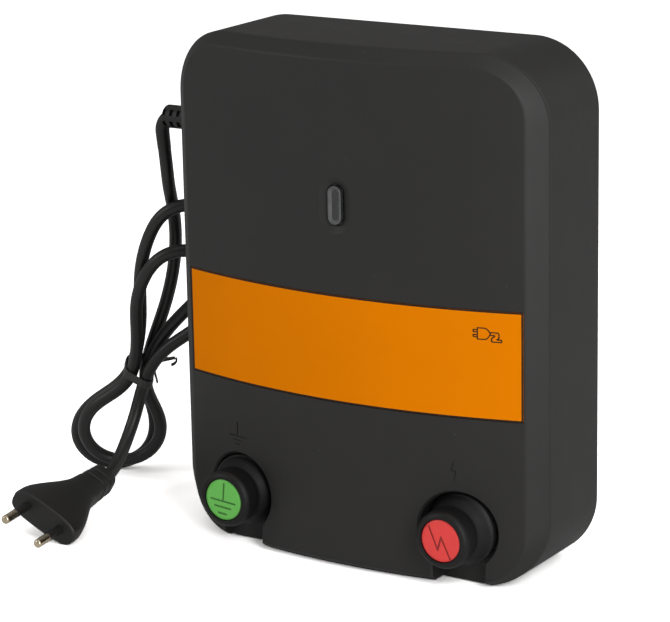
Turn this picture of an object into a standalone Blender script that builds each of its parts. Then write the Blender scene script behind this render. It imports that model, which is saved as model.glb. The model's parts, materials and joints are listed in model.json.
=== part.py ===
"""Mains fence energizer with two screw terminals and a corded plug.

Sizes are in metres and +Z is up. The front looks towards -Y. The origin lies under
the middle of the case, on the surface that it stands on. Depths are measured
backwards from the middle of the bowed front face.
"""

import math

import bmesh
import bpy
from mathutils import Vector

# Case: overall sizes, walls and rounds
CASE_WIDTH = 0.184
CASE_HEIGHT = 0.230
CASE_DEPTH = 0.0665
CASE_CORNER = 0.030
BACK_ROUND = 0.004
WALL = 0.0025
FIT = 0.0003

# Front cover: bowed face, bevel and the lip that enters the rear case
FACE_BOW = 0.0124
FACE_CORNER = 0.021
BEVEL_SIDE = 0.007
BEVEL_TOP = 0.0055
BEVEL_BOTTOM = 0.0035
BEVEL_DEPTH = 0.0062
EDGE_ROUND = 0.0015
LIP_DEPTH = 0.003
LIP_WALL = 0.0015

# Label band and indicator window on the front
LABEL_INSET = 0.0018
LABEL_LOW = 0.0756
LABEL_HIGH = 0.1235
LABEL_CORNER = 0.0008
LABEL_RECESS = 0.0008
LABEL_SHEET = 0.0005
LENS_WIDTH = 0.0065
LENS_HEIGHT = 0.0167
LENS_DROP = 0.0677
LENS_PROUD = 0.0003
LENS_FLANGE = 0.0015
PIPE_RADIUS = 0.0026
DISH_WIDTH = 0.0150
DISH_HEIGHT = 0.0250
DISH_DEPTH = 0.0010
DISH_SLOPE = 6
LED_RADIUS = 0.0025
LED_LENGTH = 0.0050

# Terminals: pockets in the cover, studs, plates, washers and knobs
KNOB_INSET = 0.0366
KNOB_Z = 0.0252
KNOB_PROUD = 0.0092
KNOB_RIM = 0.0105
KNOB_CAP = 0.0128
KNOB_WAIST = 0.0112
KNOB_SKIRT = 0.0163
SKIRT_THICK = 0.0030
SKIRT_ROUND = 0.0009
FLARE_DEPTH = 0.0060
FLARE_SAG = 0.0003
WAIST_DEPTH = 0.0012
CAP_SLOPE = 0.0009
CAP_ROUND = 0.0008
DISC_RADIUS = 0.0093
DISC_THICK = 0.0012
DISC_SUNK = 0.0006
POCKET_RADIUS = 0.0173
POCKET_FLOOR = 0.0140
CHANNEL_HALF = 0.0115
STUD_RADIUS = 0.0030
STUD_LENGTH = 0.0270
STUD_COVER = 0.0060
CONTACT_RADIUS = 0.0140
CONTACT_THICK = 0.0009
WASHER_RADIUS = 0.0130
WASHER_THICK = 0.0012
NUT_FLATS = 0.0100
NUT_THICK = 0.0050

# Screws that hold the shells, the board and the transformer
CASE_SCREW_INSET = 0.0160
CASE_SCREW_LOW = 0.0620
CASE_SCREW_DROP = 0.0300
CASE_SCREW_RADIUS = 0.0017
CASE_HEAD_RADIUS = 0.0034
CASE_HEAD_THICK = 0.0026
CASE_SCREW_SEAT = 0.0320
CASE_SCREW_LENGTH = 0.0170
BOSS_RADIUS = 0.0045
BOSS_END = 0.0210
TOWER_RADIUS = 0.0056
SMALL_SCREW_RADIUS = 0.0014
SMALL_HEAD_RADIUS = 0.0027
SMALL_HEAD_THICK = 0.0020
SMALL_SCREW_LENGTH = 0.0080
POST_RADIUS = 0.0035
HEAD_CROWN = 0.7
HEAD_SIDE = 0.6

# Wall hangers in the back
HANGER_X = 0.0500
HANGER_DROP = 0.0440
HANGER_HEAD = 0.0050
HANGER_NECK = 0.0026
HANGER_RISE = 0.0100
HANGER_ROOM = 0.0045

# Circuit board and the pieces on it
BOARD_SIDE = 0.024
BOARD_LOW = 0.085
BOARD_DROP = 0.020
BOARD_THICK = 0.0016
BOARD_BACK = 0.0145
BOARD_INSET = 0.0070
CAPACITOR_RADIUS = 0.0160
CAPACITOR_ROOM = 0.0630
CAPACITOR_INSET = 0.0180
CAPACITOR_PITCH = 0.0350
CAPACITOR_RAISE = 0.0050
BEAD_DEPTH = 0.0010
BEAD_PLACE = 0.0056
CHARGER_WIDTH = 0.0420
CHARGER_HEIGHT = 0.0360
CHARGER_DEPTH = 0.0300
CHARGER_INSET = 0.0250
CHARGER_DROP = 0.0280
CHARGER_COIL_WIDTH = 0.0315
CHARGER_COIL_HEIGHT = 0.0223
CHARGER_CORE_DEPTH = 0.0150
SINK_INSET = 0.0180
SINK_RAISE = 0.0100
SINK_HEIGHT = 0.0380
SINK_BASE = 0.0030
SINK_REACH = 0.0150
SINK_DEPTH = 0.0280
SINK_FINS = 5
SINK_FIN = 0.0020
THYRISTOR_WIDTH = 0.0150
THYRISTOR_BODY = 0.0160
THYRISTOR_THICK = 0.0046
LEG_HALF = 0.0006
LEG_PITCH = 0.0050
FUSE_INSET = 0.0230
FUSE_DROP = 0.0080
FUSE_LENGTH = 0.0200
FUSE_RADIUS = 0.0022
FUSE_CAP_RADIUS = 0.0027
FUSE_CAP = 0.0055
FILTER_INSET = 0.0310
FILTER_DROP = 0.0320
FILTER_SIZE = (0.0260, 0.0180, 0.0200)
BLOCK_INSET = 0.0080
BLOCK_WIDTH = 0.0140
BLOCK_DEPTH = 0.0120
BLOCK_HEIGHT = 0.0140
PIECE_ROUND = 0.0015

# Output transformer at the bottom of the case
CORE_HALF = 0.0280
CORE_LOW = 0.0090
CORE_HEIGHT = 0.0480
CORE_THICK = 0.0220
CORE_BACK = 0.0355
CORE_LEG = 0.0090
CORE_WINDOW = 0.0100
CORE_YOKE = 0.0090
WINDING_BULGE = 0.0085
WINDING_ROUND = 0.0060
CLAMP_THICK = 0.0015
CLAMP_FOOT = 0.0120
CLAMP_FOOT_HEIGHT = 0.0140
LEAD_RADIUS = 0.0014
PRIMARY_X = (0.0045, 0.0126)

# Mains lead, strain relief, tie and plug; places on the lead are measured from the left wall
CORD_RADIUS = 0.0030
GLAND_DROP = 0.0480
GLAND_NECK = 0.0056
GLAND_FLANGE = 0.0080
GLAND_FLANGE_THICK = 0.0020
GLAND_STRAIGHT = 0.0130
GLAND_BEND = 0.0150
GLAND_TIP_RADIUS = 0.0043
GLAND_GROOVE = 0.0010
GLAND_RIBS = 3
RIB_EDGE = 0.22
RIB_FLOOR = 0.13
CORD_DOWN = ((-0.0292, 0.0205, 0.1480), (-0.0320, 0.0275, 0.1350), (-0.0350, 0.0325, 0.1200),
             (-0.0390, 0.0350, 0.1040), (-0.0440, 0.0352, 0.0880))
CORD_ALONG = ((-0.0545, 0.0223, 0.0350), (-0.0550, 0.0180, 0.0278), (-0.0543, 0.0120, 0.0216),
              (-0.0529, 0.0050, 0.0170))
CORD_LEAD_IN = 0.008
CORD_RUN_OUT = 0.005
HANK_TIE = (-0.0550, 0.0274, 0.0560)
HANK_AXIS = (0.392, -0.075, 0.916)
HANK_SIDE = (0.841, 0.540, 0.0)
HANK_REACH = (0.0599, 0.0930, 0.0525, 0.0730)
HANK_LEAN = (-0.0040, 0.0098, 0.0, 0.0154)
HANK_FOLD = 0.0180
HANK_WAIST = 0.0031
HANK_PITCH = 0.0074
RUN_POINTS = 3
FOLD_STEPS = 6
TIE_RADIUS = 0.0010
TIE_TAIL = 0.0100
TIE_RISE = 0.0032
TIE_STEPS = 24
PLUG_FRONT = (-0.0428, -0.0657, 0.0117)
PLUG_TURN = (math.radians(1.5), math.radians(30.0), math.radians(7.5))
PLUG_LENGTH = 0.0550
PLUG_HALF_WIDTH = 0.0172
PLUG_HALF_THICK = 0.0067
PLUG_ROUND = 0.0013
PLUG_STRAIGHT = 0.0140
PLUG_TAPER_END = 0.0395
PLUG_TAIL_WIDTH = 0.0070
PLUG_TAIL_THICK = 0.0058
PLUG_TAIL = 0.0047
PLUG_RIBS = 2
PLUG_GROOVE = 0.0009
PLUG_FULLNESS = 0.62
PIN_SPACING = 0.0184
PIN_RADIUS = 0.0020
PIN_LENGTH = 0.0190
PIN_NOSE = 0.0012
SLEEVE_LENGTH = 0.0100
SPIGOT_RADIUS = 0.0012
SPIGOT_LENGTH = 0.0050

# Fineness of round shapes
CORNER_STEPS = 8
FACE_STEPS = 14
ROUND_SIDES = 32
SMALL_SIDES = 12
TAPER_STEPS = 6
PLUG_SIDES = 24
CURVE_STEPS = 16
CORD_STEP = 0.010
PLUG_CORD_STEP = 0.007
SQUARE_END = 0.25

# Values worked out from the sizes above
FACE_Y = -(CASE_DEPTH - KNOB_PROUD) / 2
CASE_HALF = CASE_WIDTH / 2
FACE_HALF = CASE_HALF - BEVEL_SIDE
LIP_INSET = WALL + FIT
CAVITY_INSET = LIP_INSET + LIP_WALL
BACK_INSIDE = CASE_DEPTH - WALL
LABEL_HALF = FACE_HALF - LABEL_INSET
LENS_Z = CASE_HEIGHT - LENS_DROP
KNOB_X = CASE_HALF - KNOB_INSET
CASE_SCREW_X = CASE_HALF - CASE_SCREW_INSET
CASE_SCREW_Z = (CASE_SCREW_LOW, CASE_HEIGHT - CASE_SCREW_DROP)
HANGER_Z = CASE_HEIGHT - HANGER_DROP
BOARD_HALF = CASE_HALF - BOARD_SIDE
BOARD_HIGH = CASE_HEIGHT - BOARD_DROP
BOARD_DEPTH = CASE_DEPTH - BOARD_BACK
CAPACITOR_X = (CAPACITOR_INSET - BOARD_HALF, CAPACITOR_INSET + CAPACITOR_PITCH - BOARD_HALF)
CAPACITOR_LOW = BOARD_LOW + CAPACITOR_RAISE
CAPACITOR_LENGTH = BOARD_HIGH - BOARD_LOW - CAPACITOR_ROOM
CHARGER_X = BOARD_HALF - CHARGER_INSET
CHARGER_Z = BOARD_HIGH - CHARGER_DROP
SINK_X = BOARD_HALF - SINK_INSET
SINK_LOW = BOARD_LOW + SINK_RAISE
FUSE_X = FUSE_INSET - BOARD_HALF
FUSE_Z = BOARD_HIGH - FUSE_DROP
FILTER_X = FILTER_INSET - BOARD_HALF
FILTER_Z = BOARD_HIGH - FILTER_DROP
BLOCK_X = BLOCK_INSET - BOARD_HALF
CORE_DEPTH = CASE_DEPTH - CORE_BACK
GLAND_DEPTH = BOARD_DEPTH - BLOCK_DEPTH / 2
GLAND_Z = CASE_HEIGHT - GLAND_DROP
TERMINALS = (("earth", -KNOB_X), ("fence", KNOB_X))
SIDES = (-1, 1)

for old in list(bpy.data.objects):
    bpy.data.objects.remove(old, do_unlink=True)


def at(depth):
    """World Y of a depth behind the middle of the front face."""
    return FACE_Y + depth


def beside(spot):
    """World place of a spot that is measured from the left wall."""
    return Vector((spot[0] - CASE_HALF, spot[1], spot[2]))


def bow(x):
    """How far the face falls back at a place across it."""
    return FACE_BOW * (x / FACE_HALF) ** 2


def bowed(depth):
    """Depth rule of a surface that follows the face."""
    return lambda x: at(depth + bow(x))


def level(depth):
    """Depth rule of a flat upright surface."""
    return lambda x: at(depth)


def smoothstep(share):
    """Rises from 0 to 1 with level ends."""
    return share * share * (3 - 2 * share)


def sway(share):
    """Rises from 0 to 1 along two even arcs."""
    if share < 0.5:
        return 2 * share * share
    return 1 - 2 * (1 - share) ** 2


def material(name, colour, roughness, metallic=0.0):
    """A plain principled finish."""
    finish = bpy.data.materials.new(name)
    finish.use_nodes = True
    shader = finish.node_tree.nodes["Principled BSDF"]
    shader.inputs["Base Color"].default_value = (*colour, 1.0)
    shader.inputs["Roughness"].default_value = roughness
    shader.inputs["Metallic"].default_value = metallic
    return finish


CASE_GREY = material("case_grey", (0.033, 0.033, 0.034), 0.62)
KNOB_BLACK = material("knob_black", (0.018, 0.018, 0.018), 0.5)
CORD_BLACK = material("cord_black", (0.020, 0.020, 0.019), 0.55)
TIE_BLACK = material("tie_black", (0.03, 0.03, 0.028), 0.6)
BAND_ORANGE = material("band_orange", (0.74, 0.20, 0.0), 0.4)
DISC_GREEN = material("disc_green", (0.06, 0.46, 0.07), 0.45)
DISC_RED = material("disc_red", (0.72, 0.045, 0.05), 0.45)
CLEAR_LENS = material("clear_lens", (0.30, 0.30, 0.31), 0.2)
LED_GREEN = material("led_green", (0.1, 0.5, 0.15), 0.3)
ZINC = material("zinc_steel", (0.60, 0.60, 0.58), 0.35, 1.0)
BRASS = material("plated_brass", (0.66, 0.58, 0.44), 0.3, 1.0)
BOARD_GREEN = material("board_green", (0.02, 0.16, 0.06), 0.5)
CAN_BLUE = material("capacitor_blue", (0.03, 0.05, 0.16), 0.4)
CORE_STEEL = material("core_steel", (0.16, 0.15, 0.15), 0.5, 0.8)
WINDING_TAPE = material("winding_tape", (0.55, 0.42, 0.12), 0.5)
SINK_ALUMINIUM = material("sink_aluminium", (0.55, 0.56, 0.57), 0.4, 1.0)
CHIP_BLACK = material("chip_black", (0.02, 0.02, 0.02), 0.45)
FILTER_YELLOW = material("filter_yellow", (0.70, 0.55, 0.10), 0.5)
BLOCK_GREEN = material("block_green", (0.08, 0.35, 0.12), 0.5)
LEAD_RED = material("lead_red", (0.50, 0.03, 0.03), 0.5)
LEAD_GREEN = material("lead_green", (0.05, 0.30, 0.06), 0.5)


def closed_mesh(name, points, faces):
    """A mesh whose faces all point outwards."""
    mesh = bpy.data.meshes.new(name)
    mesh.from_pydata(points, [], faces)
    shape = bmesh.new()
    shape.from_mesh(mesh)
    bmesh.ops.recalc_face_normals(shape, faces=shape.faces)
    shape.to_mesh(mesh)
    shape.free()
    mesh.shade_smooth()
    mesh.set_sharp_from_angle(angle=math.radians(35))
    return mesh


def outline_ring(half, low, high, corner, depth):
    """Rounded upright outline whose depth follows a rule across the case."""
    turns = [math.pi - math.pi / 2 * i / CORNER_STEPS for i in range(CORNER_STEPS + 1)]
    left = [(corner - half + corner * math.cos(t), corner - corner * math.sin(t)) for t in turns]
    flat_step = 2 * (half - corner) / FACE_STEPS
    flat = [(corner - half + flat_step * i, 0.0) for i in range(1, FACE_STEPS)]
    right = [(-x, drop) for x, drop in reversed(left)]
    edge = left + flat + right
    top = [(x, depth(x), high - drop) for x, drop in edge]
    bottom = [(x, depth(x), low + drop) for x, drop in edge]
    return top + bottom[::-1]


def case_ring(inset, depth):
    """Outline of the case walls, drawn in by an inset."""
    corner = CASE_CORNER - inset
    return outline_ring(CASE_HALF - inset, inset, CASE_HEIGHT - inset, corner, depth)


def face_ring(inset, depth):
    """Outline of the front face, drawn in by an inset."""
    low = BEVEL_BOTTOM + inset
    high = CASE_HEIGHT - BEVEL_TOP - inset
    return outline_ring(FACE_HALF - inset, low, high, FACE_CORNER - inset, depth)


def loft(name, rings, strips=True):
    """Skins rings of equal count and closes both ends, by upright strips or one face."""
    count = len(rings[0])
    points = [p for ring in rings for p in ring]
    faces = []
    for r in range(len(rings) - 1):
        base = r * count
        for i in range(count):
            j = (i + 1) % count
            faces.append((base + i, base + j, base + count + j, base + count + i))
    for base in (0, (len(rings) - 1) * count):
        if strips:
            for i in range(count // 2 - 1):
                faces.append((base + i, base + i + 1, base + count - 2 - i, base + count - 1 - i))
        else:
            faces.append(tuple(range(base, base + count)))
    return closed_mesh(name, points, faces)


def extruded(name, outline, front, back):
    """Solid of an upright outline of (x, z) points between two depths."""
    rings = [[(x, at(depth), z) for x, z in outline] for depth in (front, back)]
    return loft(name, rings, strips=False)


def rectangle(left, right, low, high):
    """Corners of an upright rectangle."""
    return [(left, low), (right, low), (right, high), (left, high)]


def rounded(left, right, low, high, corner, steps=3):
    """Upright rectangle with round corners."""
    centres = ((right - corner, high - corner, 0), (left + corner, high - corner, 1),
               (left + corner, low + corner, 2), (right - corner, low + corner, 3))
    points = []
    for x, z, quarter in centres:
        for i in range(steps + 1):
            turn = math.pi / 2 * (quarter + i / steps)
            points.append((x + corner * math.cos(turn), z + corner * math.sin(turn)))
    return points


def stadium(width, height, centre_z, steps=8):
    """Upright slot outline with half-round ends."""
    radius = width / 2
    straight = height / 2 - radius
    points = []
    for end in (1, -1):
        for i in range(steps + 1):
            turn = math.pi * i / steps + (0 if end == 1 else math.pi)
            points.append((radius * math.cos(turn), centre_z + end * straight + radius * math.sin(turn)))
    return points


def keyhole(x, z, radius, half, reach, steps=20):
    """Circle with a straight slot that runs down, or up for a negative reach, by its reach."""
    way = 1 if reach > 0 else -1
    side = math.asin(half / radius)
    points = [(x + half, z - reach)]
    for i in range(steps + 1):
        turn = side - math.pi / 2 + (2 * math.pi - 2 * side) * i / steps
        points.append((x + radius * math.cos(turn), z + way * radius * math.sin(turn)))
    points.append((x - half, z - reach))
    return points


def turned(name, profile, sides=ROUND_SIDES, closed=False):
    """Solid turned about local Y from (along, radius) points; a closed profile leaves a bore."""
    points = []
    for along, radius in profile:
        for i in range(sides):
            turn = 2 * math.pi * i / sides
            points.append((radius * math.cos(turn), along, radius * math.sin(turn)))
    rows = len(profile)
    faces = []
    for r in range(rows if closed else rows - 1):
        base = r * sides
        after = ((r + 1) % rows) * sides
        for i in range(sides):
            j = (i + 1) % sides
            faces.append((base + i, base + j, after + j, after + i))
    if not closed:
        faces.append(tuple(range(sides)))
        faces.append(tuple(range((rows - 1) * sides, rows * sides)))
    return closed_mesh(name, points, faces)


def bored(name, outer, inner, front, back, sides=ROUND_SIDES):
    """Flat ring about local Y with a round hole."""
    profile = ((front, inner), (front, outer), (back, outer), (back, inner))
    return turned(name, profile, sides, closed=True)


def place(name, mesh, finish, location=(0.0, 0.0, 0.0), parent=None):
    """One named piece of the object."""
    mesh.materials.append(finish)
    piece = bpy.data.objects.new(name, mesh)
    piece.location = location
    piece.parent = parent
    bpy.context.scene.collection.objects.link(piece)
    return piece


def shape_by(target, mesh, operation, location=(0.0, 0.0, 0.0)):
    """Joins a helper solid to a piece or cuts it away, and returns the helper."""
    helper = bpy.data.objects.new(f"{target.name}_{mesh.name}", mesh)
    helper.location = location
    helper.parent = target.parent
    helper.hide_render = True
    helper.display_type = "WIRE"
    bpy.context.scene.collection.objects.link(helper)
    step = target.modifiers.new(mesh.name, "BOOLEAN")
    step.operation = operation
    step.solver = "EXACT"
    step.object = helper
    return helper


def cut(target, mesh, location=(0.0, 0.0, 0.0)):
    return shape_by(target, mesh, "DIFFERENCE", location)


def join(target, mesh, location=(0.0, 0.0, 0.0)):
    return shape_by(target, mesh, "UNION", location)


def peg(name, radius, front, back, sides=SMALL_SIDES):
    """Plain round bar between two depths, about its own axis."""
    return turned(name, ((at(front), radius), (at(back), radius)), sides)


# Front cover
def pocket_outline(x, grow, spare=0.0):
    """Terminal pocket with the channel that runs out of the bottom edge."""
    reach = KNOB_Z - FIT + spare
    return keyhole(x, KNOB_Z, POCKET_RADIUS + grow, CHANNEL_HALF + grow, reach)


def boss_front(x):
    """Depth at which a round boss starts inside the skin of the bowed face."""
    near = bow(abs(x) + BOSS_RADIUS)
    far = bow(abs(x) - BOSS_RADIUS) + WALL
    return (near + far) / 2


def screw_places():
    return [(side * CASE_SCREW_X, z) for z in CASE_SCREW_Z for side in SIDES]


def front_cover():
    """Bowed and bevelled moulding with lip, terminal pockets, label recess and bosses."""
    lip_end = BEVEL_DEPTH + LIP_DEPTH
    edge = [(EDGE_ROUND * (1 - math.sin(t)), EDGE_ROUND * (1 - math.cos(t)))
            for t in (0.0, math.radians(30), math.radians(60))]
    rings = [face_ring(inset, bowed(depth)) for inset, depth in edge]
    rings += [case_ring(0.0, bowed(BEVEL_DEPTH))]
    rings += [case_ring(LIP_INSET, bowed(depth)) for depth in (BEVEL_DEPTH, lip_end)]
    cover = place("front_cover", loft("cover_shell", rings), CASE_GREY)

    pocket_back = POCKET_FLOOR + WALL
    for name, x in TERMINALS:
        bucket = join(cover, extruded(f"{name}_bucket", pocket_outline(x, WALL, WALL), 0.0, pocket_back))
        limit = [face_ring(FIT, bowed(FIT)), case_ring(FIT, bowed(BEVEL_DEPTH + FIT)),
                 case_ring(FIT, level(pocket_back + bow(CASE_HALF)))]
        shape_by(bucket, loft(f"{name}_bucket_limit", limit), "INTERSECT")

    open_end = pocket_back + WALL + bow(CASE_HALF)
    inner = [face_ring(WALL / 2, bowed(WALL)), case_ring(CAVITY_INSET, bowed(BEVEL_DEPTH)),
             case_ring(CAVITY_INSET, bowed(lip_end)), case_ring(CAVITY_INSET, level(open_end))]
    cavity = cut(cover, loft("cover_cavity", inner))
    for name, x in TERMINALS:
        room = pocket_outline(x, WALL - FIT / 2, WALL)
        cut(cavity, extruded(f"{name}_bucket_room", room, -WALL, pocket_back - FIT / 2))

    for i, (x, z) in enumerate(screw_places()):
        join(cover, peg(f"boss_{i}", BOSS_RADIUS, boss_front(x), BOSS_END), (x, 0.0, z))
        pilot = CASE_SCREW_SEAT - CASE_SCREW_LENGTH - FIT
        cut(cover, peg(f"pilot_{i}", CASE_SCREW_RADIUS + FIT, pilot, BOSS_END + WALL), (x, 0.0, z))

    for name, x in TERMINALS:
        cut(cover, extruded(f"{name}_pocket", pocket_outline(x, 0.0, WALL), -WALL, POCKET_FLOOR))
        cut(cover, peg(f"{name}_stud_hole", STUD_RADIUS + FIT, 0.0, pocket_back + WALL), (x, 0.0, KNOB_Z))

    recess = [outline_ring(LABEL_HALF, LABEL_LOW, LABEL_HIGH, LABEL_CORNER, bowed(depth))
              for depth in (-WALL, LABEL_RECESS)]
    cut(cover, loft("label_recess", recess))
    slope = DISH_DEPTH * DISH_SLOPE
    dish = [[(x, at(depth), z) for x, z in stadium(DISH_WIDTH + grow, DISH_HEIGHT + grow, LENS_Z)]
            for depth, grow in ((-DISH_DEPTH, slope), (DISH_DEPTH, -slope))]
    cut(cover, loft("lens_dish", dish, strips=False))
    slot = stadium(LENS_WIDTH + 2 * FIT, LENS_HEIGHT + 2 * FIT, LENS_Z)
    cut(cover, extruded("lens_slot", slot, -WALL, 2 * WALL))


def front_label():
    half = LABEL_HALF - FIT
    low = LABEL_LOW + FIT
    high = LABEL_HIGH - FIT
    back = LABEL_RECESS - FIT
    rings = [outline_ring(half, low, high, LABEL_CORNER - FIT, bowed(depth))
             for depth in (back - LABEL_SHEET, back)]
    place("front_label", loft("label_sheet", rings), BAND_ORANGE)


def led_lens():
    """Lens with a flange behind the face and a light pipe back to the lamp."""
    flange_front = WALL + FIT
    flange_back = flange_front + LENS_FLANGE
    pipe_end = BOARD_DEPTH - LED_LENGTH - 2 * FIT
    front = DISH_DEPTH - LENS_PROUD
    spread = 2 * LENS_FLANGE
    stages = ((front, LENS_WIDTH - FIT, LENS_HEIGHT - FIT), (front + FIT, LENS_WIDTH, LENS_HEIGHT),
              (flange_front, LENS_WIDTH, LENS_HEIGHT),
              (flange_front, LENS_WIDTH + spread, LENS_HEIGHT + spread),
              (flange_back, LENS_WIDTH + spread, LENS_HEIGHT + spread),
              (flange_back, 2 * PIPE_RADIUS, 2 * PIPE_RADIUS), (pipe_end, 2 * PIPE_RADIUS, 2 * PIPE_RADIUS))
    rings = [[(x, at(depth), z) for x, z in stadium(width, height + FIT / 10, LENS_Z)]
             for depth, width, height in stages]
    place("led_lens", loft("lens_and_pipe", rings, strips=False), CLEAR_LENS)
    dome = LED_RADIUS / 2
    lamp_front = pipe_end + FIT
    lamp = ((at(lamp_front), LED_RADIUS - dome), (at(lamp_front + dome), LED_RADIUS),
            (at(BOARD_DEPTH - FIT), LED_RADIUS))
    place("indicator_led", turned("lamp", lamp, SMALL_SIDES), LED_GREEN, (0.0, 0.0, LENS_Z))


# Rear case
def hanger_outline(x, grow):
    """Keyhole hanger: a round entry with a slot that runs up."""
    return keyhole(x, HANGER_Z, HANGER_HEAD + grow, HANGER_NECK + grow, -HANGER_RISE - grow)


def board_posts():
    across = BOARD_HALF - BOARD_INSET
    heights = (BOARD_LOW + BOARD_INSET, BOARD_HIGH - BOARD_INSET)
    return [(side * across, z) for z in heights for side in SIDES]


def clamp_posts():
    across = CORE_HALF + FIT + CLAMP_THICK + CLAMP_FOOT / 2
    return [(side * across, CORE_LOW + CORE_HEIGHT / 2) for side in SIDES]


def rear_case():
    """Deep tray with rounded back, screw towers, posts, wall hangers and gland hole."""
    turns = [math.radians(a) for a in (0, 30, 60, 90)]
    rings = [case_ring(0.0, bowed(BEVEL_DEPTH + FIT))]
    back_edge = [(BACK_ROUND * (1 - math.cos(t)), BACK_ROUND * (1 - math.sin(t))) for t in turns]
    rings += [case_ring(inset, level(CASE_DEPTH - rise)) for inset, rise in back_edge]
    case = place("rear_case", loft("case_shell", rings), CASE_GREY)
    hollow = [case_ring(WALL, bowed(0.0)), case_ring(WALL, level(BACK_INSIDE - BACK_ROUND / 2)),
              case_ring(WALL + BACK_ROUND / 2, level(BACK_INSIDE))]
    cut(case, loft("case_hollow", hollow))

    into_back = BACK_INSIDE + WALL / 2
    tower_front = BOSS_END + FIT
    for i, (x, z) in enumerate(screw_places()):
        join(case, peg(f"tower_{i}", TOWER_RADIUS, tower_front, into_back), (x, 0.0, z))
        head_room = CASE_HEAD_RADIUS + FIT
        cut(case, peg(f"tower_well_{i}", head_room, CASE_SCREW_SEAT + FIT, CASE_DEPTH + WALL), (x, 0.0, z))
        shank_room = CASE_SCREW_RADIUS + FIT
        cut(case, peg(f"tower_bore_{i}", shank_room, tower_front - WALL, CASE_SCREW_SEAT + WALL), (x, 0.0, z))

    posts = [("board", x, z, BOARD_DEPTH + BOARD_THICK + FIT) for x, z in board_posts()]
    posts += [("clamp", x, z, CORE_DEPTH + CORE_THICK + CLAMP_THICK + 2 * FIT) for x, z in clamp_posts()]
    for i, (name, x, z, front) in enumerate(posts):
        join(case, peg(f"{name}_post_{i}", POST_RADIUS, front, into_back), (x, 0.0, z))
        pilot = SMALL_SCREW_RADIUS + FIT
        cut(case, peg(f"{name}_pilot_{i}", pilot, front - WALL, BACK_INSIDE - FIT), (x, 0.0, z))

    room_front = CASE_DEPTH - WALL - HANGER_ROOM
    for side in SIDES:
        x = side * HANGER_X
        head = HANGER_HEAD + FIT
        join(case, extruded(f"hanger_block_{side}", hanger_outline(x, WALL), room_front - WALL, into_back))
        slot_room = keyhole(x, HANGER_Z, head, head - FIT, -HANGER_RISE - HANGER_NECK)
        cut(case, extruded(f"hanger_room_{side}", slot_room, room_front, BACK_INSIDE))
        slot = hanger_outline(x, 0.0)
        cut(case, extruded(f"hanger_slot_{side}", slot, BACK_INSIDE - FIT, CASE_DEPTH + WALL))

    for name, x in TERMINALS:
        notch_back = POCKET_FLOOR + WALL + FIT
        cut(case, extruded(f"{name}_notch", pocket_outline(x, WALL + FIT, WALL), 0.0, notch_back))

    hole = turned("gland_hole", ((-WALL, GLAND_NECK + FIT), (2 * WALL, GLAND_NECK + FIT)))
    cutter = cut(case, hole, (-CASE_HALF, at(GLAND_DEPTH), GLAND_Z))
    cutter.rotation_euler.z = -math.pi / 2


def screw_mesh(name, radius, length, head_radius, head_thick):
    """Pan-head screw along local Y: head forwards of zero, shank behind it."""
    profile = ((-head_thick, head_radius * HEAD_CROWN), (-head_thick * HEAD_SIDE, head_radius),
               (0.0, head_radius), (0.0, radius), (length, radius))
    return turned(name, profile, SMALL_SIDES)


def case_screws():
    """Screws driven from the back through the towers into the cover's bosses."""
    for i, (x, z) in enumerate(screw_places(), 1):
        mesh = screw_mesh("case_screw", CASE_SCREW_RADIUS, CASE_SCREW_LENGTH,
                          CASE_HEAD_RADIUS, CASE_HEAD_THICK)
        screw = place(f"case_screw_{i}", mesh, ZINC, (x, at(CASE_SCREW_SEAT + 2 * FIT), z))
        screw.rotation_euler.z = math.pi


def small_screws(label, places, seat):
    """Screws driven from the front into posts of the rear case."""
    for i, (x, z) in enumerate(places, 1):
        mesh = screw_mesh(label, SMALL_SCREW_RADIUS, SMALL_SCREW_LENGTH,
                          SMALL_HEAD_RADIUS, SMALL_HEAD_THICK)
        place(f"{label}_{i}", mesh, ZINC, (x, at(seat - FIT), z))


# Circuit board and its pieces
def circuit_board():
    outline = rounded(-BOARD_HALF, BOARD_HALF, BOARD_LOW, BOARD_HIGH, PIECE_ROUND)
    back = BOARD_DEPTH + BOARD_THICK
    board = place("circuit_board", extruded("board_sheet", outline, BOARD_DEPTH, back), BOARD_GREEN)
    for i, (x, z) in enumerate(board_posts()):
        hole = peg(f"board_hole_{i}", SMALL_SCREW_RADIUS + FIT, BOARD_DEPTH - WALL, back + WALL)
        cut(board, hole, (x, 0.0, z))
    small_screws("board_screw", board_posts(), BOARD_DEPTH)


def storage_capacitors():
    """Tall cans that lie along the board, with a beaded lower end."""
    full = CAPACITOR_RADIUS
    bead = full - BEAD_DEPTH
    profile = ((0.0, bead), (PIECE_ROUND, full), (BEAD_PLACE, full), (BEAD_PLACE + PIECE_ROUND, bead),
               (BEAD_PLACE + 2 * PIECE_ROUND, full), (CAPACITOR_LENGTH - PIECE_ROUND, full),
               (CAPACITOR_LENGTH, bead))
    for i, x in enumerate(CAPACITOR_X, 1):
        depth = BOARD_DEPTH - FIT - CAPACITOR_RADIUS
        can = place(f"storage_capacitor_{i}", turned("capacitor_can", profile), CAN_BLUE,
                    (x, at(depth), CAPACITOR_LOW))
        can.rotation_euler.x = math.pi / 2


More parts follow.
